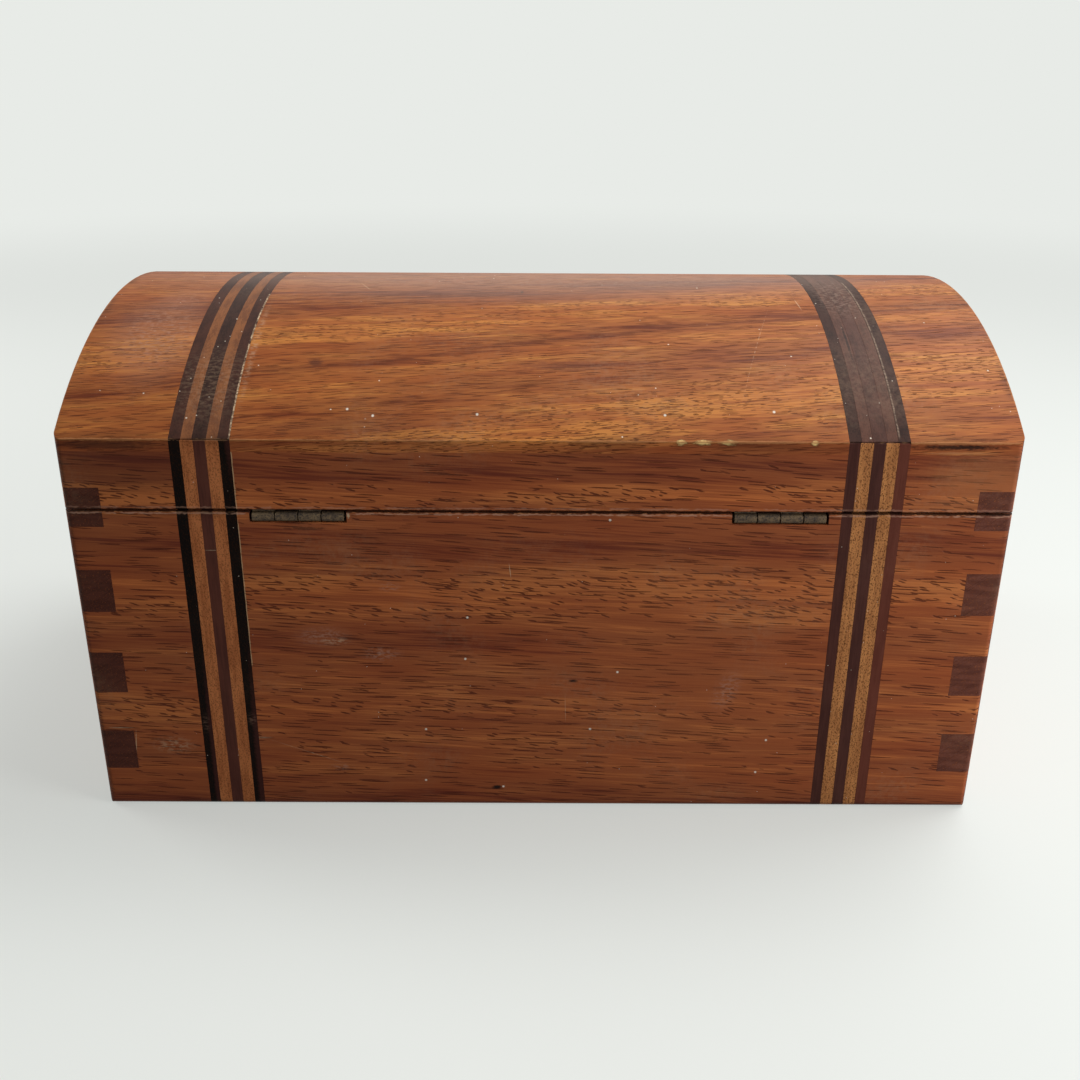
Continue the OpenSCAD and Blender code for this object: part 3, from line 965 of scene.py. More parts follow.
@dataclass(frozen=True)
class Figure:
    """The light and dark streaks of a board.

    Each stop has a distance across the grain in millimetres and a tone from 0 to 1. Without
    stops the tones are left to chance. Wave, spread, depth and length are in millimetres.
    The swings are how far chance moves the tone without stops and with them.
    """

    stops: Pairs = ()
    lean: float = 0.0
    wave: float = 2.4
    spread: float = 8.0
    depth: float = 26.0
    length: float = 110.0
    base: float = 0.5
    free_swing: float = 1.6
    held_swing: float = 0.5

    def tone(self, surface: Surface, grain_place: Socket, across: Socket) -> Socket:
        """The tone of the streak at each place.

        Args:
            surface: The material being made.
            grain_place: The place along, into and across the grain.
            across: The distance across the streaks.

        Returns:
            The tone, from dark at 0 to light at 1.
        """
        g = surface.graph
        slow = g.noise(grain_place, Pattern(self.length, self.depth, self.spread, detail=2))
        if not self.stops:
            return g.add(self.base, g.swing(slow, self.free_swing))
        moved = g.add(across, g.times(surface.x, self.lean), g.swing(slow, 2 * self.wave))
        return g.add(g.curve(moved, self.stops), g.swing(slow, self.held_swing))


@dataclass(frozen=True)
class Timber:
    """The colours of one wood."""

    dark: Colour = tone(111, 52, 37)
    middle: Colour = tone(159, 87, 53)
    light: Colour = tone(204, 121, 69)
    pore: Colour = tone(88, 40, 26)
    end: Colour = tone(84, 48, 40)


@dataclass(frozen=True)
class BoardFinish(WoodFinish):
    """The oiled and worn red-brown wood of the boards.

    Lift is added to the height, so that the streaks of a sawn board run on past the cut.
    Ticks and lines are the shares of short and of long pores.
    """

    grain: Grain = Grain.ALONG_X
    lift: float = 0.0
    timber: Timber = Timber()
    figure: Figure = Figure()
    ticks: float = 1.6
    lines: float = 1.2
    tick_slope: float = -0.26
    line_slope: float = -0.05
    coarseness: float = 1.0
    upright_tint: Colour = (0.95, 0.86, 1.05, 1.0)

    def wood(self, surface: Surface) -> Tuple[Socket, Socket]:
        """Makes the bare board.

        Args:
            surface: The material being made.

        Returns:
            Its colour and its relief.
        """
        g = surface.graph
        height = g.add(surface.z, self.lift)
        if self.over_dome:
            order = (surface.x, height, self.across_dome(surface, height))
        elif self.grain is Grain.ALONG_X:
            order = (surface.x, surface.y, height)
        else:
            order = (surface.y, surface.x, height)
        shift = tuple(self.seed * way for way in SEED_SHIFT)
        place = g.vector("ADD", g.scaled(g.join(*order), *(self.coarseness,) * 3), shift)
        made = Effects.place(
            g,
            Effect.OPEN_GRAIN,
            {
                "Place": place,
                "Tone": self.figure.tone(surface, place, order[2]),
                "Ticks": self.ticks,
                "Lines": self.lines,
                "Tick Slope": self.tick_slope,
                "Line Slope": self.line_slope,
                "End Grain": g.step(g.size(surface.facing[self.grain.value]), 0.62, 0.80),
                "Dark": self.timber.dark,
                "Middle": self.timber.middle,
                "Light": self.timber.light,
                "Pore Colour": self.timber.pore,
                "End Colour": self.timber.end,
            },
        )
        colour = made.outputs["Color"]
        if self.over_dome:
            on_top = g.step(self.level(surface), -0.5, -0.1)
            colour = g.tinted(colour, g.mix(on_top, self.upright_tint, PLAIN))
        return colour, made.outputs["Height"]

    def across_dome(self, surface: Surface, height: Socket) -> Socket:
        """The distance across the dome's grain.

        Args:
            surface: The material being made.
            height: The height on the piece.

        Returns:
            The way on from the rear arris or, on the upright walls of the hollow, the height.
        """
        g = surface.graph
        upright = g.step(g.size(surface.facing[1]), 0.75, 0.95)
        inside = g.times(upright, g.step(surface.z, BOX.arris, BOX.arris + 0.1))
        return g.blend(inside, self.level(surface), height)


@dataclass(frozen=True)
class StripTone:
    """The colours of one inlaid strip."""

    base: Colour
    shade: Colour


EBONY = StripTone(tone(40, 26, 22), tone(24, 15, 13))


@dataclass(frozen=True)
class StripFinish(WoodFinish):
    """The wood of a pair of inlaid strips, one at each side of the band, or of a middle strip."""

    inner: StripTone = EBONY
    outer: StripTone = EBONY
    fleck: Colour = tone(88, 50, 28)
    flecks: float = 0.0
    mottle: float = 0.8

    def wood(self, surface: Surface) -> Tuple[Socket, Socket]:
        """Makes the bare strips.

        Args:
            surface: The material being made.

        Returns:
            Their colour and their relief.
        """
        g = surface.graph
        outward = g.step(g.less(g.size(surface.x), BOX.band_x), -0.3, 0.3)
        order = (self.level(surface), surface.x, surface.z if self.over_dome else surface.y)
        shift = (self.seed * SEED_SHIFT[0], self.seed * SEED_SHIFT[1], 0.0)
        inputs = {
            "Place": g.vector("ADD", g.join(*order), shift),
            "Base": g.mix(outward, self.inner.base, self.outer.base),
            "Shade": g.mix(outward, self.inner.shade, self.outer.shade),
            "Fleck": self.fleck,
            "Flecks": self.flecks,
            "Mottle": self.mottle,
        }
        made = Effects.place(g, Effect.CLOSE_GRAIN, inputs)
        return made.outputs["Color"], made.outputs["Height"]


@dataclass(frozen=True)
class MetalFinish:
    """Brass that has gone brown, with a little bright metal where it rubs.

    The relief is in millimetres.
    """

    name: str
    bright: Colour = tone(104, 84, 60)
    dull: Colour = tone(66, 52, 41)
    stain: Colour = tone(30, 22, 17)
    rough: float = 0.46
    metal: float = 0.45
    relief: float = 0.02

    def material(self) -> bpy.types.Material:
        """Builds the finish.

        Returns:
            The material for a piece of the fittings.
        """
        surface = Surface(self.name)
        g = surface.graph
        inputs = {"Place": surface.place, "Bright": self.bright, "Dull": self.dull, "Stain": self.stain}
        made = Effects.place(g, Effect.PATINA, inputs)
        colour, height = made.outputs["Color"], made.outputs["Height"]
        rough = g.add(self.rough, g.times(made.outputs["Tarnish"], 0.2))
        return surface.close(colour, rough, height, self.relief, Metallic=self.metal)


# ---- Edges ----


WELD = 1e-6


@dataclass(frozen=True)
class EdgeRounding:
    """How the edges of a piece are eased: outer arrises more, joints hardly at all.

    Outer and slack are in millimetres, near is in metres, and the angles are in radians.
    """

    outer: float = 0.40
    joint_share: float = 0.25
    segments: int = 3
    flat_angle: float = math.radians(0.4)
    sharp_angle: float = math.radians(24.0)
    near: float = 0.05 * MM
    slack: float = 0.1

    def apply(self, piece: bpy.types.Object, top: float) -> None:
        """Adds the modifiers that ease a piece's edges.

        Args:
            piece: The piece.
            top: The level of its upper outer edge, in millimetres.
        """
        piece.modifiers.new("close", "NODES").node_group = self.group("closed_mesh", self.fill_closed)
        flat = piece.modifiers.new("flat_faces", "DECIMATE")
        flat.decimate_type = "DISSOLVE"
        flat.angle_limit = self.flat_angle
        name = f"edge_marks_{top:.1f}_{self.joint_share:.2f}"
        marks = self.group(name, lambda g, mesh: self.fill_marks(g, mesh, top))
        piece.modifiers.new("edge_marks", "NODES").node_group = marks
        ease = piece.modifiers.new("ease", "BEVEL")
        ease.limit_method = "WEIGHT"
        ease.width = self.outer * MM
        ease.segments = self.segments
        ease.harden_normals = True
        ease.miter_outer = "MITER_ARC"

    @staticmethod
    def group(name: str, fill: Callable[[Graph, Socket], Socket]) -> bpy.types.NodeTree:
        """A node group for a modifier, built once.

        Args:
            name: The group's name.
            fill: Adds the group's nodes to a mesh and returns the changed mesh.

        Returns:
            The group.
        """
        if name in bpy.data.node_groups:
            return bpy.data.node_groups[name]
        tree = bpy.data.node_groups.new(name, "GeometryNodeTree")
        for way in ("INPUT", "OUTPUT"):
            tree.interface.new_socket(name="Geometry", in_out=way, socket_type="NodeSocketGeometry")
        g = Graph(tree)
        mesh = fill(g, g.node("NodeGroupInput").outputs[0])
        g.feed(g.node("NodeGroupOutput").inputs[0], mesh)
        return tree

    @staticmethod
    def fill_closed(g: Graph, mesh: Socket) -> Socket:
        """Closes a mesh up and drops its stored normals.

        Args:
            g: The group's graph.
            mesh: The mesh.

        Returns:
            The closed mesh.
        """
        merged = g.node("GeometryNodeMergeByDistance", {"Geometry": mesh, "Distance": WELD})
        inputs = {"Geometry": merged.outputs[0], "Name": "custom_normal"}
        return g.node("GeometryNodeRemoveAttribute", inputs).outputs[0]

    def fill_marks(self, g: Graph, mesh: Socket, top: float) -> Socket:
        """Marks each sharp edge with how much of it is eased.

        Args:
            g: The group's graph.
            mesh: The mesh.
            top: The level of the upper outer edge, in millimetres.

        Returns:
            The marked mesh.
        """
        x, y, z = g.split(g.node("GeometryNodeInputPosition").outputs[0])
        at_end = self.at(g, g.size(x), BOX.half_w)
        at_face = self.at(g, g.size(y), BOX.half_d)
        at_level = g.highest(self.at(g, z, top), self.at(g, z, 0.0), self.at(g, z, BOX.lid_low))
        on_arc = g.times(at_end, g.math("GREATER_THAN", z, (BOX.arris - self.slack) * MM))
        # An outer edge lies in two of the outer faces at once.
        outer = g.math("GREATER_THAN", g.add(at_end, at_face, at_level, on_arc), 1.5)
        angle = g.node("GeometryNodeInputMeshEdgeAngle").outputs[0]
        sharp = g.math("GREATER_THAN", angle, self.sharp_angle)
        weight = g.times(sharp, g.blend(outer, self.joint_share, 1.0))
        store = g.node("GeometryNodeStoreNamedAttribute", data_type="FLOAT", domain="EDGE")
        g.feed(store.inputs["Geometry"], mesh)
        g.feed(store.inputs["Name"], "bevel_weight_edge")
        g.feed(store.inputs["Value"], weight)
        return store.outputs[0]

    def at(self, g: Graph, value: Value, level: float) -> Socket:
        """One where a value in metres is at a level in millimetres, and zero elsewhere."""
        return g.math("LESS_THAN", g.size(g.less(value, level * MM)), self.near)


# ---- Sub-assemblies ----


def shell_of(name: str) -> Shell:
    """The half of the box that a board or a strip belongs to, by its name."""
    return Shell.LID if name.startswith(("lid_", "dome_")) else Shell.BODY


def dress(name: str, finish: Union[WoodFinish, MetalFinish], slot: str, rounding: EdgeRounding) -> None:
    """Gives a piece its finish and eased edges, and logs the name of its material slot in the record.

    Args:
        name: The piece's name.
        finish: Its finish.
        slot: The name of the record's slot.
        rounding: How its edges are eased.
    """
    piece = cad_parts[name]
    piece.data.materials.clear()
    piece.data.materials.append(finish.material())
    for face in piece.data.polygons:
        face.use_smooth = True
    rounding.apply(piece, BOX.seam if shell_of(name) is Shell.BODY else BOX.arris)
    log.info("%s dressed as %s, slot %s", name, finish.name, slot)


REAR_STREAKS = Figure(
    stops=(
        (0.0, 0.12), (4.0, 0.40), (6.5, 0.46), (10.0, 0.62), (13.0, 0.48), (17.8, 0.61),
        (20.8, 0.48), (24.0, 0.72), (28.0, 0.64), (32.0, 0.56), (37.0, 0.60), (40.5, 0.38),
        (44.0, 0.52), (49.0, 0.72), (54.0, 0.82), (57.7, 0.58), (61.5, 0.34), (66.0, 0.38),
        (71.0, 0.60), (73.5, 0.86), (76.0, 0.70), (78.2, 0.26), (81.0, 0.20), (83.5, 0.50),
        (86.5, 0.50),
    ),
    wave=1.8,
)

DOME_STREAKS = Figure(
    stops=(
        (-16.0, 0.52), (-9.0, 0.50), (-4.0, 0.66), (1.5, 0.80), (6.0, 0.74), (9.0, 0.54),
        (12.0, 0.26), (15.5, 0.36), (19.5, 0.58), (22.5, 0.60), (25.0, 0.16), (27.0, 0.32),
        (30.0, 0.52), (34.0, 0.76), (39.0, 0.74), (44.0, 0.44), (49.5, 0.12), (54.0, 0.24),
        (60.0, 0.48), (68.0, 0.52), (80.0, 0.40), (92.0, 0.26), (104.0, 0.62), (116.0, 0.42),
        (130.0, 0.50),
    ),
    lean=0.18,
    wave=2.0,
    spread=6.0,
    length=70.0,
)


@dataclass
class Carcass:
    """The four walls and the bottom panel."""

    rounding: EdgeRounding = EdgeRounding()
    # End grain of the -X boards is painted lighter and that of the +X boards darker: painted light and shade.
    lit_end_left: Colour = tone(112, 68, 56)
    shaded_end_right: Colour = tone(80, 45, 37)
    white_specks: ClassVar[Pairs] = (
        (7.6, 5.1), (14.8, 46.6), (15.4, 36.9), (-16.7, 33.9), (24.2, 19.7), (24.6, 6.7),
        (-11.2, 19.9), (-14.2, 68.5), (-47.7, 9.1), (-49.4, 17.3),
    )

    def build(self) -> None:
        """Dresses every board of the body."""
        glue = (GlueLine(x=BOX.band_inner - 0.12, low=36.0, high=BOX.seam),)
        base = BoardFinish("rear_wall_finish", figure=REAR_STREAKS, glue=glue, spots=self.rear_spots())
        front = BoardFinish("front_wall_finish", seed=1.0, tick_slope=0.2, line_slope=0.03)
        ends = Timber(end=self.lit_end_left)
        side = BoardFinish("left_wall_finish", grain=Grain.ALONG_Y, seed=2.0, timber=ends)
        other = replace(side, name="right_wall_finish", seed=3.0, timber=Timber(end=self.shaded_end_right))
        bare = Wear(strength=0.0, grime_and_seam_shade=0.0, film=0.15, specks=0.05, rim=0.0)
        panel = BoardFinish("floor_finish", seed=4.0, wear=bare, rough=0.6, shine=0.1)
        walls = {"rear_wall": base, "front_wall": front, "left_wall": side, "right_wall": other}
        for name, finish in walls.items():
            dress(name, finish, "koa", self.rounding)
        dress("floor_panel", panel, "floor_wood", self.rounding)

    @staticmethod
    def rear_spots() -> Tuple[Spot, ...]:
        """The knots, scuffs, specks and scratches of the rear wall, and a broad painted sheen over its -X
        side.

        Returns:
            The marks, each laid over the ones before it.
        """
        return (
            # A broad painted sheen over the wall's -X side.
            Spot(-32.0, 34.0, 34.0, 46.0, tone(190, 116, 70), strength=0.13, rag=0.2),
            Spot(45.0, 42.0, 8.0, 3.4, HAZE, strength=0.55, grit=0.9, rag=0.7),
            Spot(42.5, 41.0, 4.2, 1.2, PALE, strength=0.45, grit=1.0, rag=0.8),
            Spot(33.0, 38.0, 6.0, 2.6, HAZE, strength=0.60, grit=1.0, rag=0.8),
            Spot(30.5, 53.5, 3.4, 1.6, HAZE, strength=0.60, grit=1.0, rag=0.8),
            Spot(79.0, 15.5, 7.0, 3.2, PALE, strength=0.40, grit=1.0, rag=0.9),
            Spot(49.8, 13.8, 0.45, 3.6, PALE, strength=0.55, lean=2.67, rag=0.6, grit=0.8),
            Spot(60.0, 17.4, 3.0, 0.35, PALE, strength=0.45, rag=0.8, grit=0.6),
            Spot(43.0, 10.0, 4.0, 1.4, HAZE, strength=0.50, rag=0.8, grit=1.0),
            Spot(-40.0, 29.5, 4.0, 7.0, HAZE, strength=0.55, grit=0.95, rag=0.8, lean=-0.3),
            Spot(-38.5, 17.0, 3.0, 2.6, GRIME, strength=0.5, grit=0.9, rag=0.8),
            Spot(-7.3, 31.7, 1.4, 0.5, KNOT),
            Spot(9.0, 4.9, 1.5, 0.7, KNOT),
            *(Spot(x, level, 0.36, 0.36, CHALK, rag=0.1) for x, level in Carcass.white_specks),
            Spot(87.3, 15.2, 0.16, 4.6, PALE, strength=0.55, rag=0.5, lean=-0.11),
            Spot(90.0, 19.7, 3.4, 0.16, PALE, strength=0.45, rag=0.5),
            Spot(5.9, 57.2, 0.13, 2.0, PALE, strength=0.55, lean=0.12, rag=0.3),
            Spot(-5.8, 25.0, 0.12, 4.2, PALE, strength=0.45, lean=0.03, rag=0.4, grit=0.6),
            Spot(38.2, 69.3, 0.40, 0.75, PALE, strength=0.9, rag=0.9),
            Spot(47.0, 66.4, 5.5, 0.5, GRIME, strength=0.6, rag=0.9),
        )


@dataclass
class Lid:
    """The lid's four rails and the domed board glued on them."""

    rounding: EdgeRounding = EdgeRounding()
    sawn_off: float = BOX.lid_low - BOX.seam
    white_specks: ClassVar[Pairs] = (
        (12.4, 5.4), (-24.8, 5.4), (-46.5, 6.2), (33.0, 5.0), (38.2, 6.4),
    )
    chips: ClassVar[Pairs] = ((-27.6, 1.4), (-31.9, 2.0), (-36.9, 2.3), (-53.8, 0.9))

    @staticmethod
    def chip(x: float, half_w: float) -> Tuple[Spot, Spot]:
        """A splinter gone from the arris: pale wood in a dark outline."""
        dark = Spot(x, -0.25, half_w + 0.5, 0.85, GRIME, strength=0.7, rag=0.8)
        return dark, Spot(x, -0.15, half_w, 0.60, SPLINTER, rag=1.0)

    def build(self) -> None:
        """Dresses every board of the lid."""
        glue = (GlueLine(x=BOX.band_inner - 0.12, low=BOX.lid_low, high=BOX.arris),)
        rear = BoardFinish(
            "lid_rear_rail_finish",
            shell=Shell.LID,
            figure=REAR_STREAKS,
            lift=self.sawn_off,
            glue=glue,
            # Painted shade at the rail's +X end and along its top, and painted light at its -X end.
            spots=(
                Spot(80.0, 80.0, 26.0, 9.0, SHADED_WOOD, strength=0.42, rag=0.2),
                Spot(-88.0, 77.0, 15.0, 9.0, tone(196, 128, 80), strength=0.32, rag=0.3),
                Spot(-15.0, 84.0, 60.0, 4.0, SHADED_WOOD, strength=0.35, rag=0.3),
            ),
        )
        front = replace(
            rear,
            name="lid_front_rail_finish",
            figure=Figure(),
            seed=1.0,
            glue=(),
            spots=(),
            tick_slope=0.2,
        )
        side = replace(
            front,
            name="lid_left_rail_finish",
            seed=2.0,
            grain=Grain.ALONG_Y,
            timber=Timber(end=Carcass.lit_end_left),
            tick_slope=rear.tick_slope,
        )
        other = replace(side, name="lid_right_rail_finish", seed=3.0, timber=Timber(end=Carcass.shaded_end_right))
        boards = {
            "lid_rear_rail": rear,
            "lid_front_rail": front,
            "lid_left_rail": side,
            "lid_right_rail": other,
            "dome_board": self.dome(),
        }
        for name, finish in boards.items():
            dress(name, finish, "koa", self.rounding)

    def dome(self) -> BoardFinish:
        """Makes the finish of the domed board, with its scratches, stains and chipped arris, a painted sheen
        with dust along the crest and a painted glint under the arris.

        Returns:
            The finish.
        """
        spots = (
            Spot(-5.0, 17.5, 13.0, 2.0, tone(116, 64, 44), strength=0.5, rag=0.8),
            Spot(36.0, 2.4, 26.0, 3.2, tone(112, 60, 40), strength=0.42, rag=0.4),
            Spot(46.0, 18.0, 2.2, 1.5, SHADED_WOOD, strength=0.65, rag=0.7),
            Spot(4.1, 48.9, 0.5, 1.4, KNOT, strength=0.7),
            Spot(-45.3, 24.0, 0.16, 21.0, PALE, strength=0.4, lean=-0.31, rag=0.5, grit=1.0),
            # A painted sheen with dust along the crest.
            Spot(0.0, 60.0, 110.0, 24.0, CREST_SHEEN_AND_DUST, strength=0.46, rag=0.3, grit=0.3),
            Spot(0.0, 62.0, 110.0, 12.0, CREST_SHEEN_AND_DUST, strength=0.25, rag=0.3, grit=0.6),
            Spot(-57.0, 42.0, 0.20, 4.0, PALE, strength=0.6, lean=0.1, rag=0.4, grit=0.5),
            Spot(40.0, 53.0, 0.25, 4.0, PALE, strength=0.45, lean=0.5, rag=0.5, grit=0.5),
            Spot(78.0, 44.0, 9.0, 9.0, HAZE, strength=0.4, rag=0.8, grit=0.8),
            Spot(-82.0, -0.9, 11.0, 0.62, KNOT, strength=0.9, rag=0.9),
            # A painted glint: a thin pale orange line under the arris at the -X end.
            Spot(-82.0, -2.1, 9.0, 0.35, tone(190, 130, 88), strength=0.55, rag=0.7),
            Spot(85.0, -1.2, 13.0, 1.3, tone(66, 34, 27), strength=0.6, rag=0.6),
            Spot(80.0, 28.0, 15.0, 22.0, HAZE, strength=0.55, grit=0.7, rag=0.6),
            Spot(BOX.band_inner - 1.0, 24.0, 1.2, 24.0, SMEAR, strength=0.5, rag=0.6, grit=1.0),
            *(mark for x, half_w in self.chips for mark in self.chip(x, half_w)),
            *(Spot(x, level, 0.38, 0.38, CHALK, rag=0.1) for x, level in self.white_specks),
        )
        return BoardFinish(
            "dome_finish",
            shell=Shell.LID,
            seed=5.0,
            over_dome=True,
            figure=DOME_STREAKS,
            tick_slope=0.10,
            line_slope=0.08,
            ticks=1.0,
            lines=1.5,
            coarseness=0.6,
            spots=spots,
            timber=Timber(
                dark=tone(106, 50, 28),
                middle=tone(162, 93, 49),
                light=tone(205, 132, 66),
                pore=tone(84, 38, 20),
            ),
            wear=Wear(film=0.24, scratches=0.8),
        )


FEW_FLECKS = 0.15


@dataclass(frozen=True)
class BandWoods:
    """The woods of one stretch of a band, and how flecked its light strips are."""

    inner_edge: StripTone
    outer_edge: StripTone
    light: StripTone
    centre: StripTone
    flecks: float = FEW_FLECKS

    def pair(self, name: str) -> Tuple[StripTone, StripTone]:
        """The tones of the strips in one node.

        Args:
            name: The node's name.

        Returns:
            The inner and the outer strip's tones.
        """
        if "edge" in name:
            return self.inner_edge, self.outer_edge
        one = self.light if "light" in name else self.centre
        return one, one


BLACK = StripTone(tone(10, 3, 2), tone(3, 1, 1))
TAN = StripTone(tone(210, 130, 80), tone(170, 98, 58))
PALE_TAN = StripTone(tone(210, 142, 86), tone(170, 110, 66))
PLUM = StripTone(tone(98, 56, 46), tone(76, 42, 36))
DARK_PLUM = StripTone(tone(84, 50, 44), tone(66, 38, 34))
RED = StripTone(tone(112, 62, 50), tone(98, 52, 42))
DOME_DARK = StripTone(tone(80, 52, 44), tone(58, 40, 36))
DOME_GREY = StripTone(tone(68, 46, 40), tone(44, 30, 27))
DOME_TAN = StripTone(tone(150, 96, 62), tone(112, 70, 50))
DOME_BROWN = StripTone(tone(98, 65, 53), tone(68, 43, 36))
DOME_UMBER = StripTone(tone(88, 57, 48), tone(62, 39, 33))


@dataclass
class InlaidBands:
    """The two bands of five strips, up the long sides and over the dome."""

    rounding: EdgeRounding = EdgeRounding(outer=0.34, joint_share=0.14)
    right: BandWoods = BandWoods(BLACK, BLACK, TAN, PLUM, flecks=0.55)
    left: BandWoods = BandWoods(DARK_PLUM, RED, PALE_TAN, DARK_PLUM, flecks=0.8)
    dome_right: BandWoods = BandWoods(DOME_DARK, DOME_DARK, DOME_TAN, DOME_GREY)
    dome_left: BandWoods = BandWoods(DOME_GREY, DOME_GREY, DOME_BROWN, DOME_UMBER)

    def build(self) -> None:
        """Dresses every strip of both bands."""
        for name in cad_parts:
            if name.endswith(("_edge_strips", "_light_strips", "_centre_strip", "_key_block")):
                dress(name, self.finish_of(name), self.slot_of(name), self.rounding)

    @staticmethod
    def slot_of(name: str) -> str:
        """The record's material slot of one node of strips.

        Args:
            name: The node's name.

        Returns:
            The slot's name.
        """
        if "edge" in name:
            return "dark_inlay"
        return "light_inlay" if "light" in name else "centre_inlay"

    def finish_of(self, name: str) -> StripFinish:
        """The finish of one node of strips.

        Args:
            name: The node's name.

        Returns:
            Its finish.
        """
        over_dome = name.startswith("dome_")
        right = "right" in name
        sides = (self.dome_left, self.dome_right) if over_dome else (self.left, self.right)
        woods = sides[right]
        inner, outer = woods.pair(name)
        return StripFinish(
            f"{name}_finish",
            shell=shell_of(name),
            over_dome=over_dome,
            seed=7.0 + right,
            inner=inner,
            outer=outer,
            flecks=woods.flecks if "light" in name else FEW_FLECKS,
            shine=0.05 if "edge" in name else 0.07,
            wear=Wear(
                strength=0.45,
                colour=tone(150, 112, 82),
                film=0.30 if over_dome else 0.05,
                film_colour=tone(150, 124, 104),
                specks=0.75 if over_dome and right else 0.35,
                rim=0.45,
            ),
            relief=0.03,
            spots=self.spots_of(name),
            glue=self.glue_of(name),
        )

    @staticmethod
    def spots_of(name: str) -> Tuple[Spot, ...]:
        """The single marks of one node of strips.

        On the dome they are a painted sheen with dust along the crest, a scuff and dust, on the rear's outer
        strips the plum heartwood and two scuffs, and on the key block the glue at its ends.

        Args:
            name: The node's name.

        Returns:
            The marks, or none.
        """
        x = BOX.band_x
        # A painted sheen with dust along the crest.
        crest = Spot(0.0, 62.0, 110.0, 19.0, CREST_SHEEN_AND_DUST, strength=0.42, rag=0.3, grit=0.5)
        if name.startswith("dome_left"):
            scuff = Spot(-x, 48.0, 8.0, 19.0, tone(166, 140, 124), strength=0.5, rag=0.5, grit=1.0)
            stain = Spot(-x + 2.0, 26.0, 0.35, 9.0, tone(34, 24, 22), strength=0.8, rag=0.8)
            return crest, scuff, stain
        if name.startswith("dome_right"):
            return crest, Spot(x, 13.0, 12.0, 15.0, SMEAR, strength=0.18, grit=1.0, rag=0.6)
        if name in ("rear_right_edge_strips", "lid_rear_right_edge_strips"):
            return (
                Spot(x - 5.7, 92.0, 1.1, 18.0, PLUM_EDGE, strength=0.8, rag=0.3),
                Spot(x - 5.7, 4.0, 1.2, 40.0, PLUM_EDGE, strength=0.8, rag=0.3),
                Spot(x + 4.0, 2.0, 1.0, 42.0, PLUM_EDGE, strength=0.8, rag=0.3),
                Spot(x - 5.0, 22.0, 1.6, 2.6, HAZE, strength=0.3, rag=0.9, grit=1.0),
                Spot(x + 5.0, 21.0, 1.4, 3.4, HAZE, strength=0.3, rag=0.9, grit=1.0),
            )
        if not name.endswith("key_block"):
            return ()
        low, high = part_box(name)
        middle = (low.x + high.x) / 2 * PER_METRE
        ends = (low.z * PER_METRE + 0.1, high.z * PER_METRE - 0.35)
        return tuple(Spot(middle, end, 1.4, 0.16, PALE, strength=0.35, rag=0.8) for end in ends)

    @staticmethod
    def glue_of(name: str) -> Tuple[GlueLine, ...]:
        """The lines of old glue along one strip of each band on the dome.

        Args:
            name: The node's name.

        Returns:
            The line, or none.
        """
        if name == "dome_left_edge_strips":
            dull = GlueLine(-(BOX.band_outer - 2.1), low=2.0, high=58.0, half_w=0.24)
            return (replace(dull, strength=0.7, colour=tone(168, 144, 124), crumbled=0.5),)
        if name == "dome_right_edge_strips":
            pale = GlueLine(BOX.band_inner + 0.15, low=0.0, high=46.0, half_w=0.26)
            return (replace(pale, strength=0.9, colour=PALE, crumbled=0.7),)
        return ()


@dataclass
class Hinges:
    """The two butt hinges, their pins and their screws."""

    rounding: EdgeRounding = EdgeRounding(outer=0.10, joint_share=1.0, segments=2)

    def build(self) -> None:
        """Dresses the leaves, the pins and the screws."""
        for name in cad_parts:
            if "hinge" in name:
                dress(name, MetalFinish(f"{name}_finish"), "brass", self.rounding)


@dataclass
class TiltLock:
    """The block, the loose pin and the tongue inside the front wall."""

    rounding: EdgeRounding = EdgeRounding(outer=0.15, joint_share=1.0, segments=2)
    brass: MetalFinish = MetalFinish(
        "lock_brass", bright=tone(170, 138, 84), dull=tone(128, 102, 62), stain=tone(84, 66, 44)
    )

    def build(self) -> None:
        """Dresses the lock."""
        pale = Timber(
            dark=tone(120, 82, 48),
            middle=tone(158, 114, 70),
            light=tone(184, 138, 88),
            pore=tone(96, 62, 38),
            end=tone(120, 84, 56),
        )
        bare = Wear(strength=0.0, grime_and_seam_shade=0.0, film=0.15, rim=0.0)
        block = BoardFinish("lock_block_finish", seed=9.0, timber=pale, wear=bare, rough=0.55, ticks=0.4)
        dress("lock_block", block, "lock_wood", self.rounding)
        for name in ("lock_pin", "lock_tongue", "lock_tongue_screws"):
            dress(name, replace(self.brass, name=f"{name}_finish"), "brass", self.rounding)


# ---- Studio ----


@dataclass(frozen=True)
class SoftLamp:
    """A square soft lamp that looks at the box, in metres and watts."""

    name: str
    at: Tuple[float, float, float]
    size: float
    power: float


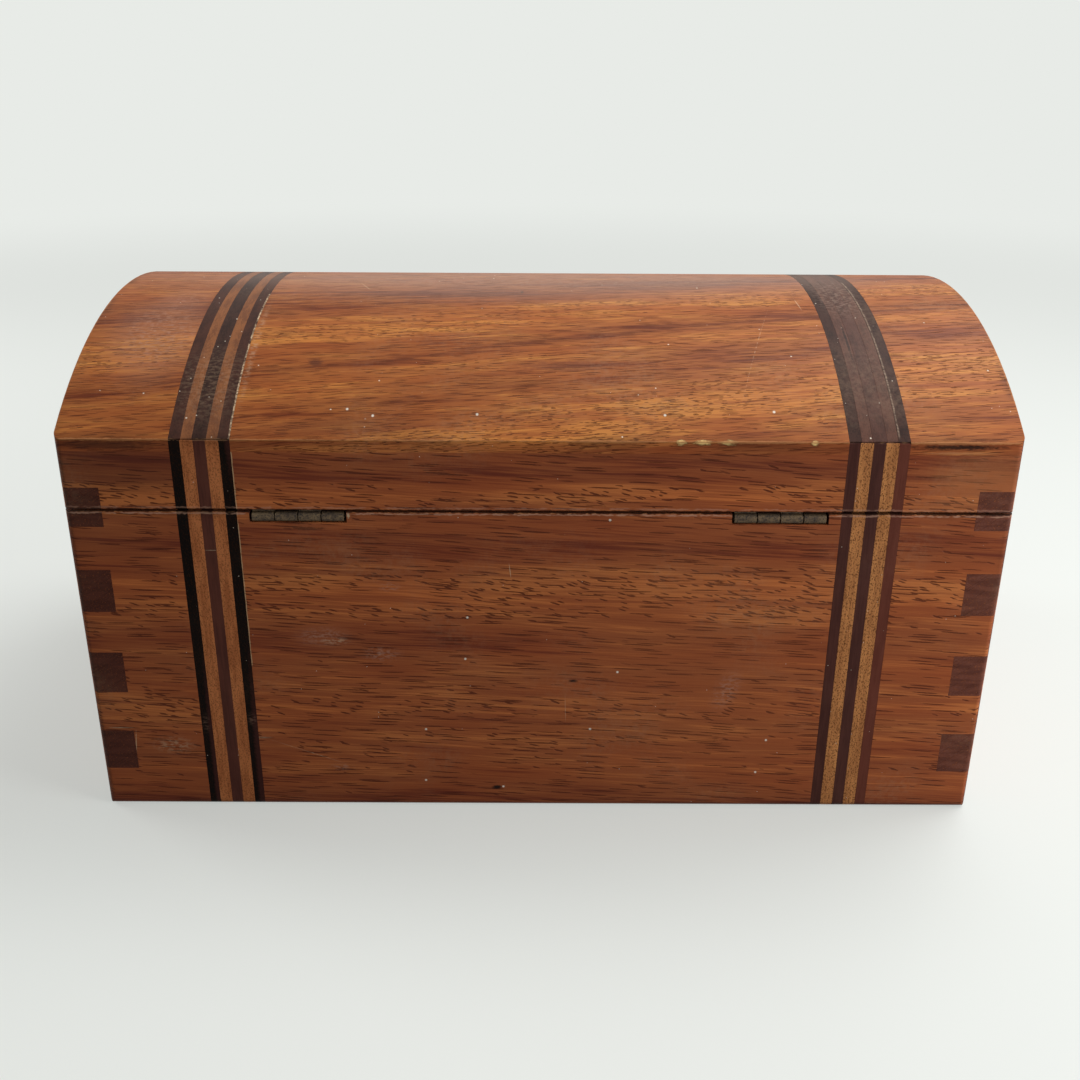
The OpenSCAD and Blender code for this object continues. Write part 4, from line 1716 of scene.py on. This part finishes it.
@dataclass
class Studio:
    """A plain pale floor, soft lamps and the camera.

    The lens and the eye are in millimetres, the camera's angles in degrees, and the floor
    and the lamps in metres.
    """

    lens: float = 40.0
    eye: Tuple[float, float, float] = (0.33, 283.1, 157.9)
    pitch: float = 22.8
    yaw: float = -0.13
    roll: float = 0.32
    sight: Tuple[float, float] = (0.01, 50.0)
    floor_r: float = 6.0
    floor_fade: Tuple[float, float] = (0.25, 1.0)
    floor_colour: Colour = tone(232, 235, 231)
    bounce_colour: Colour = tone(118, 118, 116)
    haze: float = 0.52
    sky: float = 0.22
    aim: Tuple[float, float, float] = (0.0, 0.0, 0.05)
    lamps: Tuple[SoftLamp, ...] = (
        SoftLamp("key", (-0.34, -0.20, 0.70), 0.50, 5.1),
        SoftLamp("fill", (-0.38, 0.22, 0.17), 0.18, 1.15),
        SoftLamp("side", (0.60, -0.22, 0.26), 0.30, 1.6),
    )

    def build(self) -> None:
        """Makes the floor, the light and the camera."""
        self.add_floor()
        self.add_world()
        for lamp in self.lamps:
            self.add_lamp(lamp)
        self.add_camera()

    def add_floor(self) -> None:
        """Lays a round floor that goes over into the backdrop's own colour far out."""
        mesh = bpy.data.meshes.new("floor")
        shape = bmesh.new()
        bmesh.ops.create_circle(shape, cap_ends=True, segments=64, radius=self.floor_r)
        shape.to_mesh(mesh)
        shape.free()
        floor = bpy.data.objects.new("floor", mesh)
        bpy.context.scene.collection.objects.link(floor)
        floor.data.materials.append(self.floor_material())

    def floor_material(self) -> bpy.types.Material:
        """Plain pale paper: seen bright, but throwing little light up at the box.

        Returns:
            The floor's material.
        """
        material = bpy.data.materials.new("pale_floor")
        material.use_nodes = True
        material.node_tree.nodes.clear()
        g = Graph(material.node_tree)
        seen = self.seen(g)
        coordinates = g.node("ShaderNodeTexCoord")
        out = g.node("ShaderNodeVectorMath", {0: coordinates.outputs["Object"]}, operation="LENGTH")
        far = g.times(g.blend(g.step(out.outputs["Value"], *self.floor_fade), self.haze, 1.0), seen)
        paper = g.node("ShaderNodeBsdfDiffuse", {"Color": g.mix(seen, self.bounce_colour, self.floor_colour)})
        glow = g.node("ShaderNodeEmission", {"Color": self.floor_colour})
        both = g.node("ShaderNodeMixShader", {0: far, 1: paper.outputs[0], 2: glow.outputs[0]})
        output = g.node("ShaderNodeOutputMaterial")
        g.tree.links.new(both.outputs[0], output.inputs[0])
        return material

    @staticmethod
    def seen(g: Graph) -> Socket:
        """One for rays from the camera, a mirror or a clear body, and zero for all others."""
        path = g.node("ShaderNodeLightPath").outputs
        return g.highest(path["Is Camera Ray"], path["Is Glossy Ray"], path["Is Transmission Ray"])

    def add_world(self) -> None:
        """Even light from all round, and the backdrop's colour where it is seen."""
        world = bpy.data.worlds.new("studio")
        bpy.context.scene.world = world
        world.use_nodes = True
        world.node_tree.nodes.clear()
        g = Graph(world.node_tree)
        strength = g.blend(self.seen(g), self.sky, 1.0)
        backdrop = g.node("ShaderNodeBackground", {"Color": self.floor_colour, "Strength": strength})
        output = g.node("ShaderNodeOutputWorld")
        g.tree.links.new(backdrop.outputs[0], output.inputs[0])

    def add_lamp(self, lamp: SoftLamp) -> None:
        """Hangs one lamp.

        Args:
            lamp: The lamp.
        """
        data = bpy.data.lights.new(lamp.name, "AREA")
        data.size = lamp.size
        data.energy = lamp.power
        made = bpy.data.objects.new(lamp.name, data)
        made.location = lamp.at
        ahead = Vector(self.aim) - Vector(lamp.at)
        made.rotation_euler = ahead.to_track_quat("-Z", "Y").to_euler()
        bpy.context.scene.collection.objects.link(made)

    def add_camera(self) -> None:
        """Sets the camera behind the hinged side, looking a little down."""
        data = bpy.data.cameras.new("camera")
        data.lens = self.lens
        data.clip_start, data.clip_end = self.sight
        pitch = math.radians(self.pitch)
        turn = Matrix.Rotation(math.radians(self.yaw), 3, "Z")
        ahead = turn @ Vector((0.0, -math.cos(pitch), -math.sin(pitch)))
        right = turn @ Vector((-1.0, 0.0, 0.0))
        up = right.cross(ahead)
        roll = math.radians(self.roll)
        level = math.cos(roll) * right + math.sin(roll) * up
        top = math.cos(roll) * up - math.sin(roll) * right
        camera = bpy.data.objects.new("camera", data)
        axes = Matrix((level, top, -ahead)).transposed()
        camera.matrix_world = Matrix.Translation(Vector(self.eye) * MM) @ axes.to_4x4()
        bpy.context.scene.collection.objects.link(camera)
        bpy.context.scene.camera = camera


def main() -> None:
    """Builds the studio and dresses each sub-assembly in turn."""
    logging.basicConfig(level=logging.INFO, format="%(name)s: %(message)s")
    bpy.context.scene.view_settings.view_transform = "Standard"
    for assembly in (Studio(), Carcass(), Lid(), InlaidBands(), Hinges(), TiltLock()):
        log.info("building %s", type(assembly).__name__)
        assembly.build()


if __name__ == "__main__":
    main()
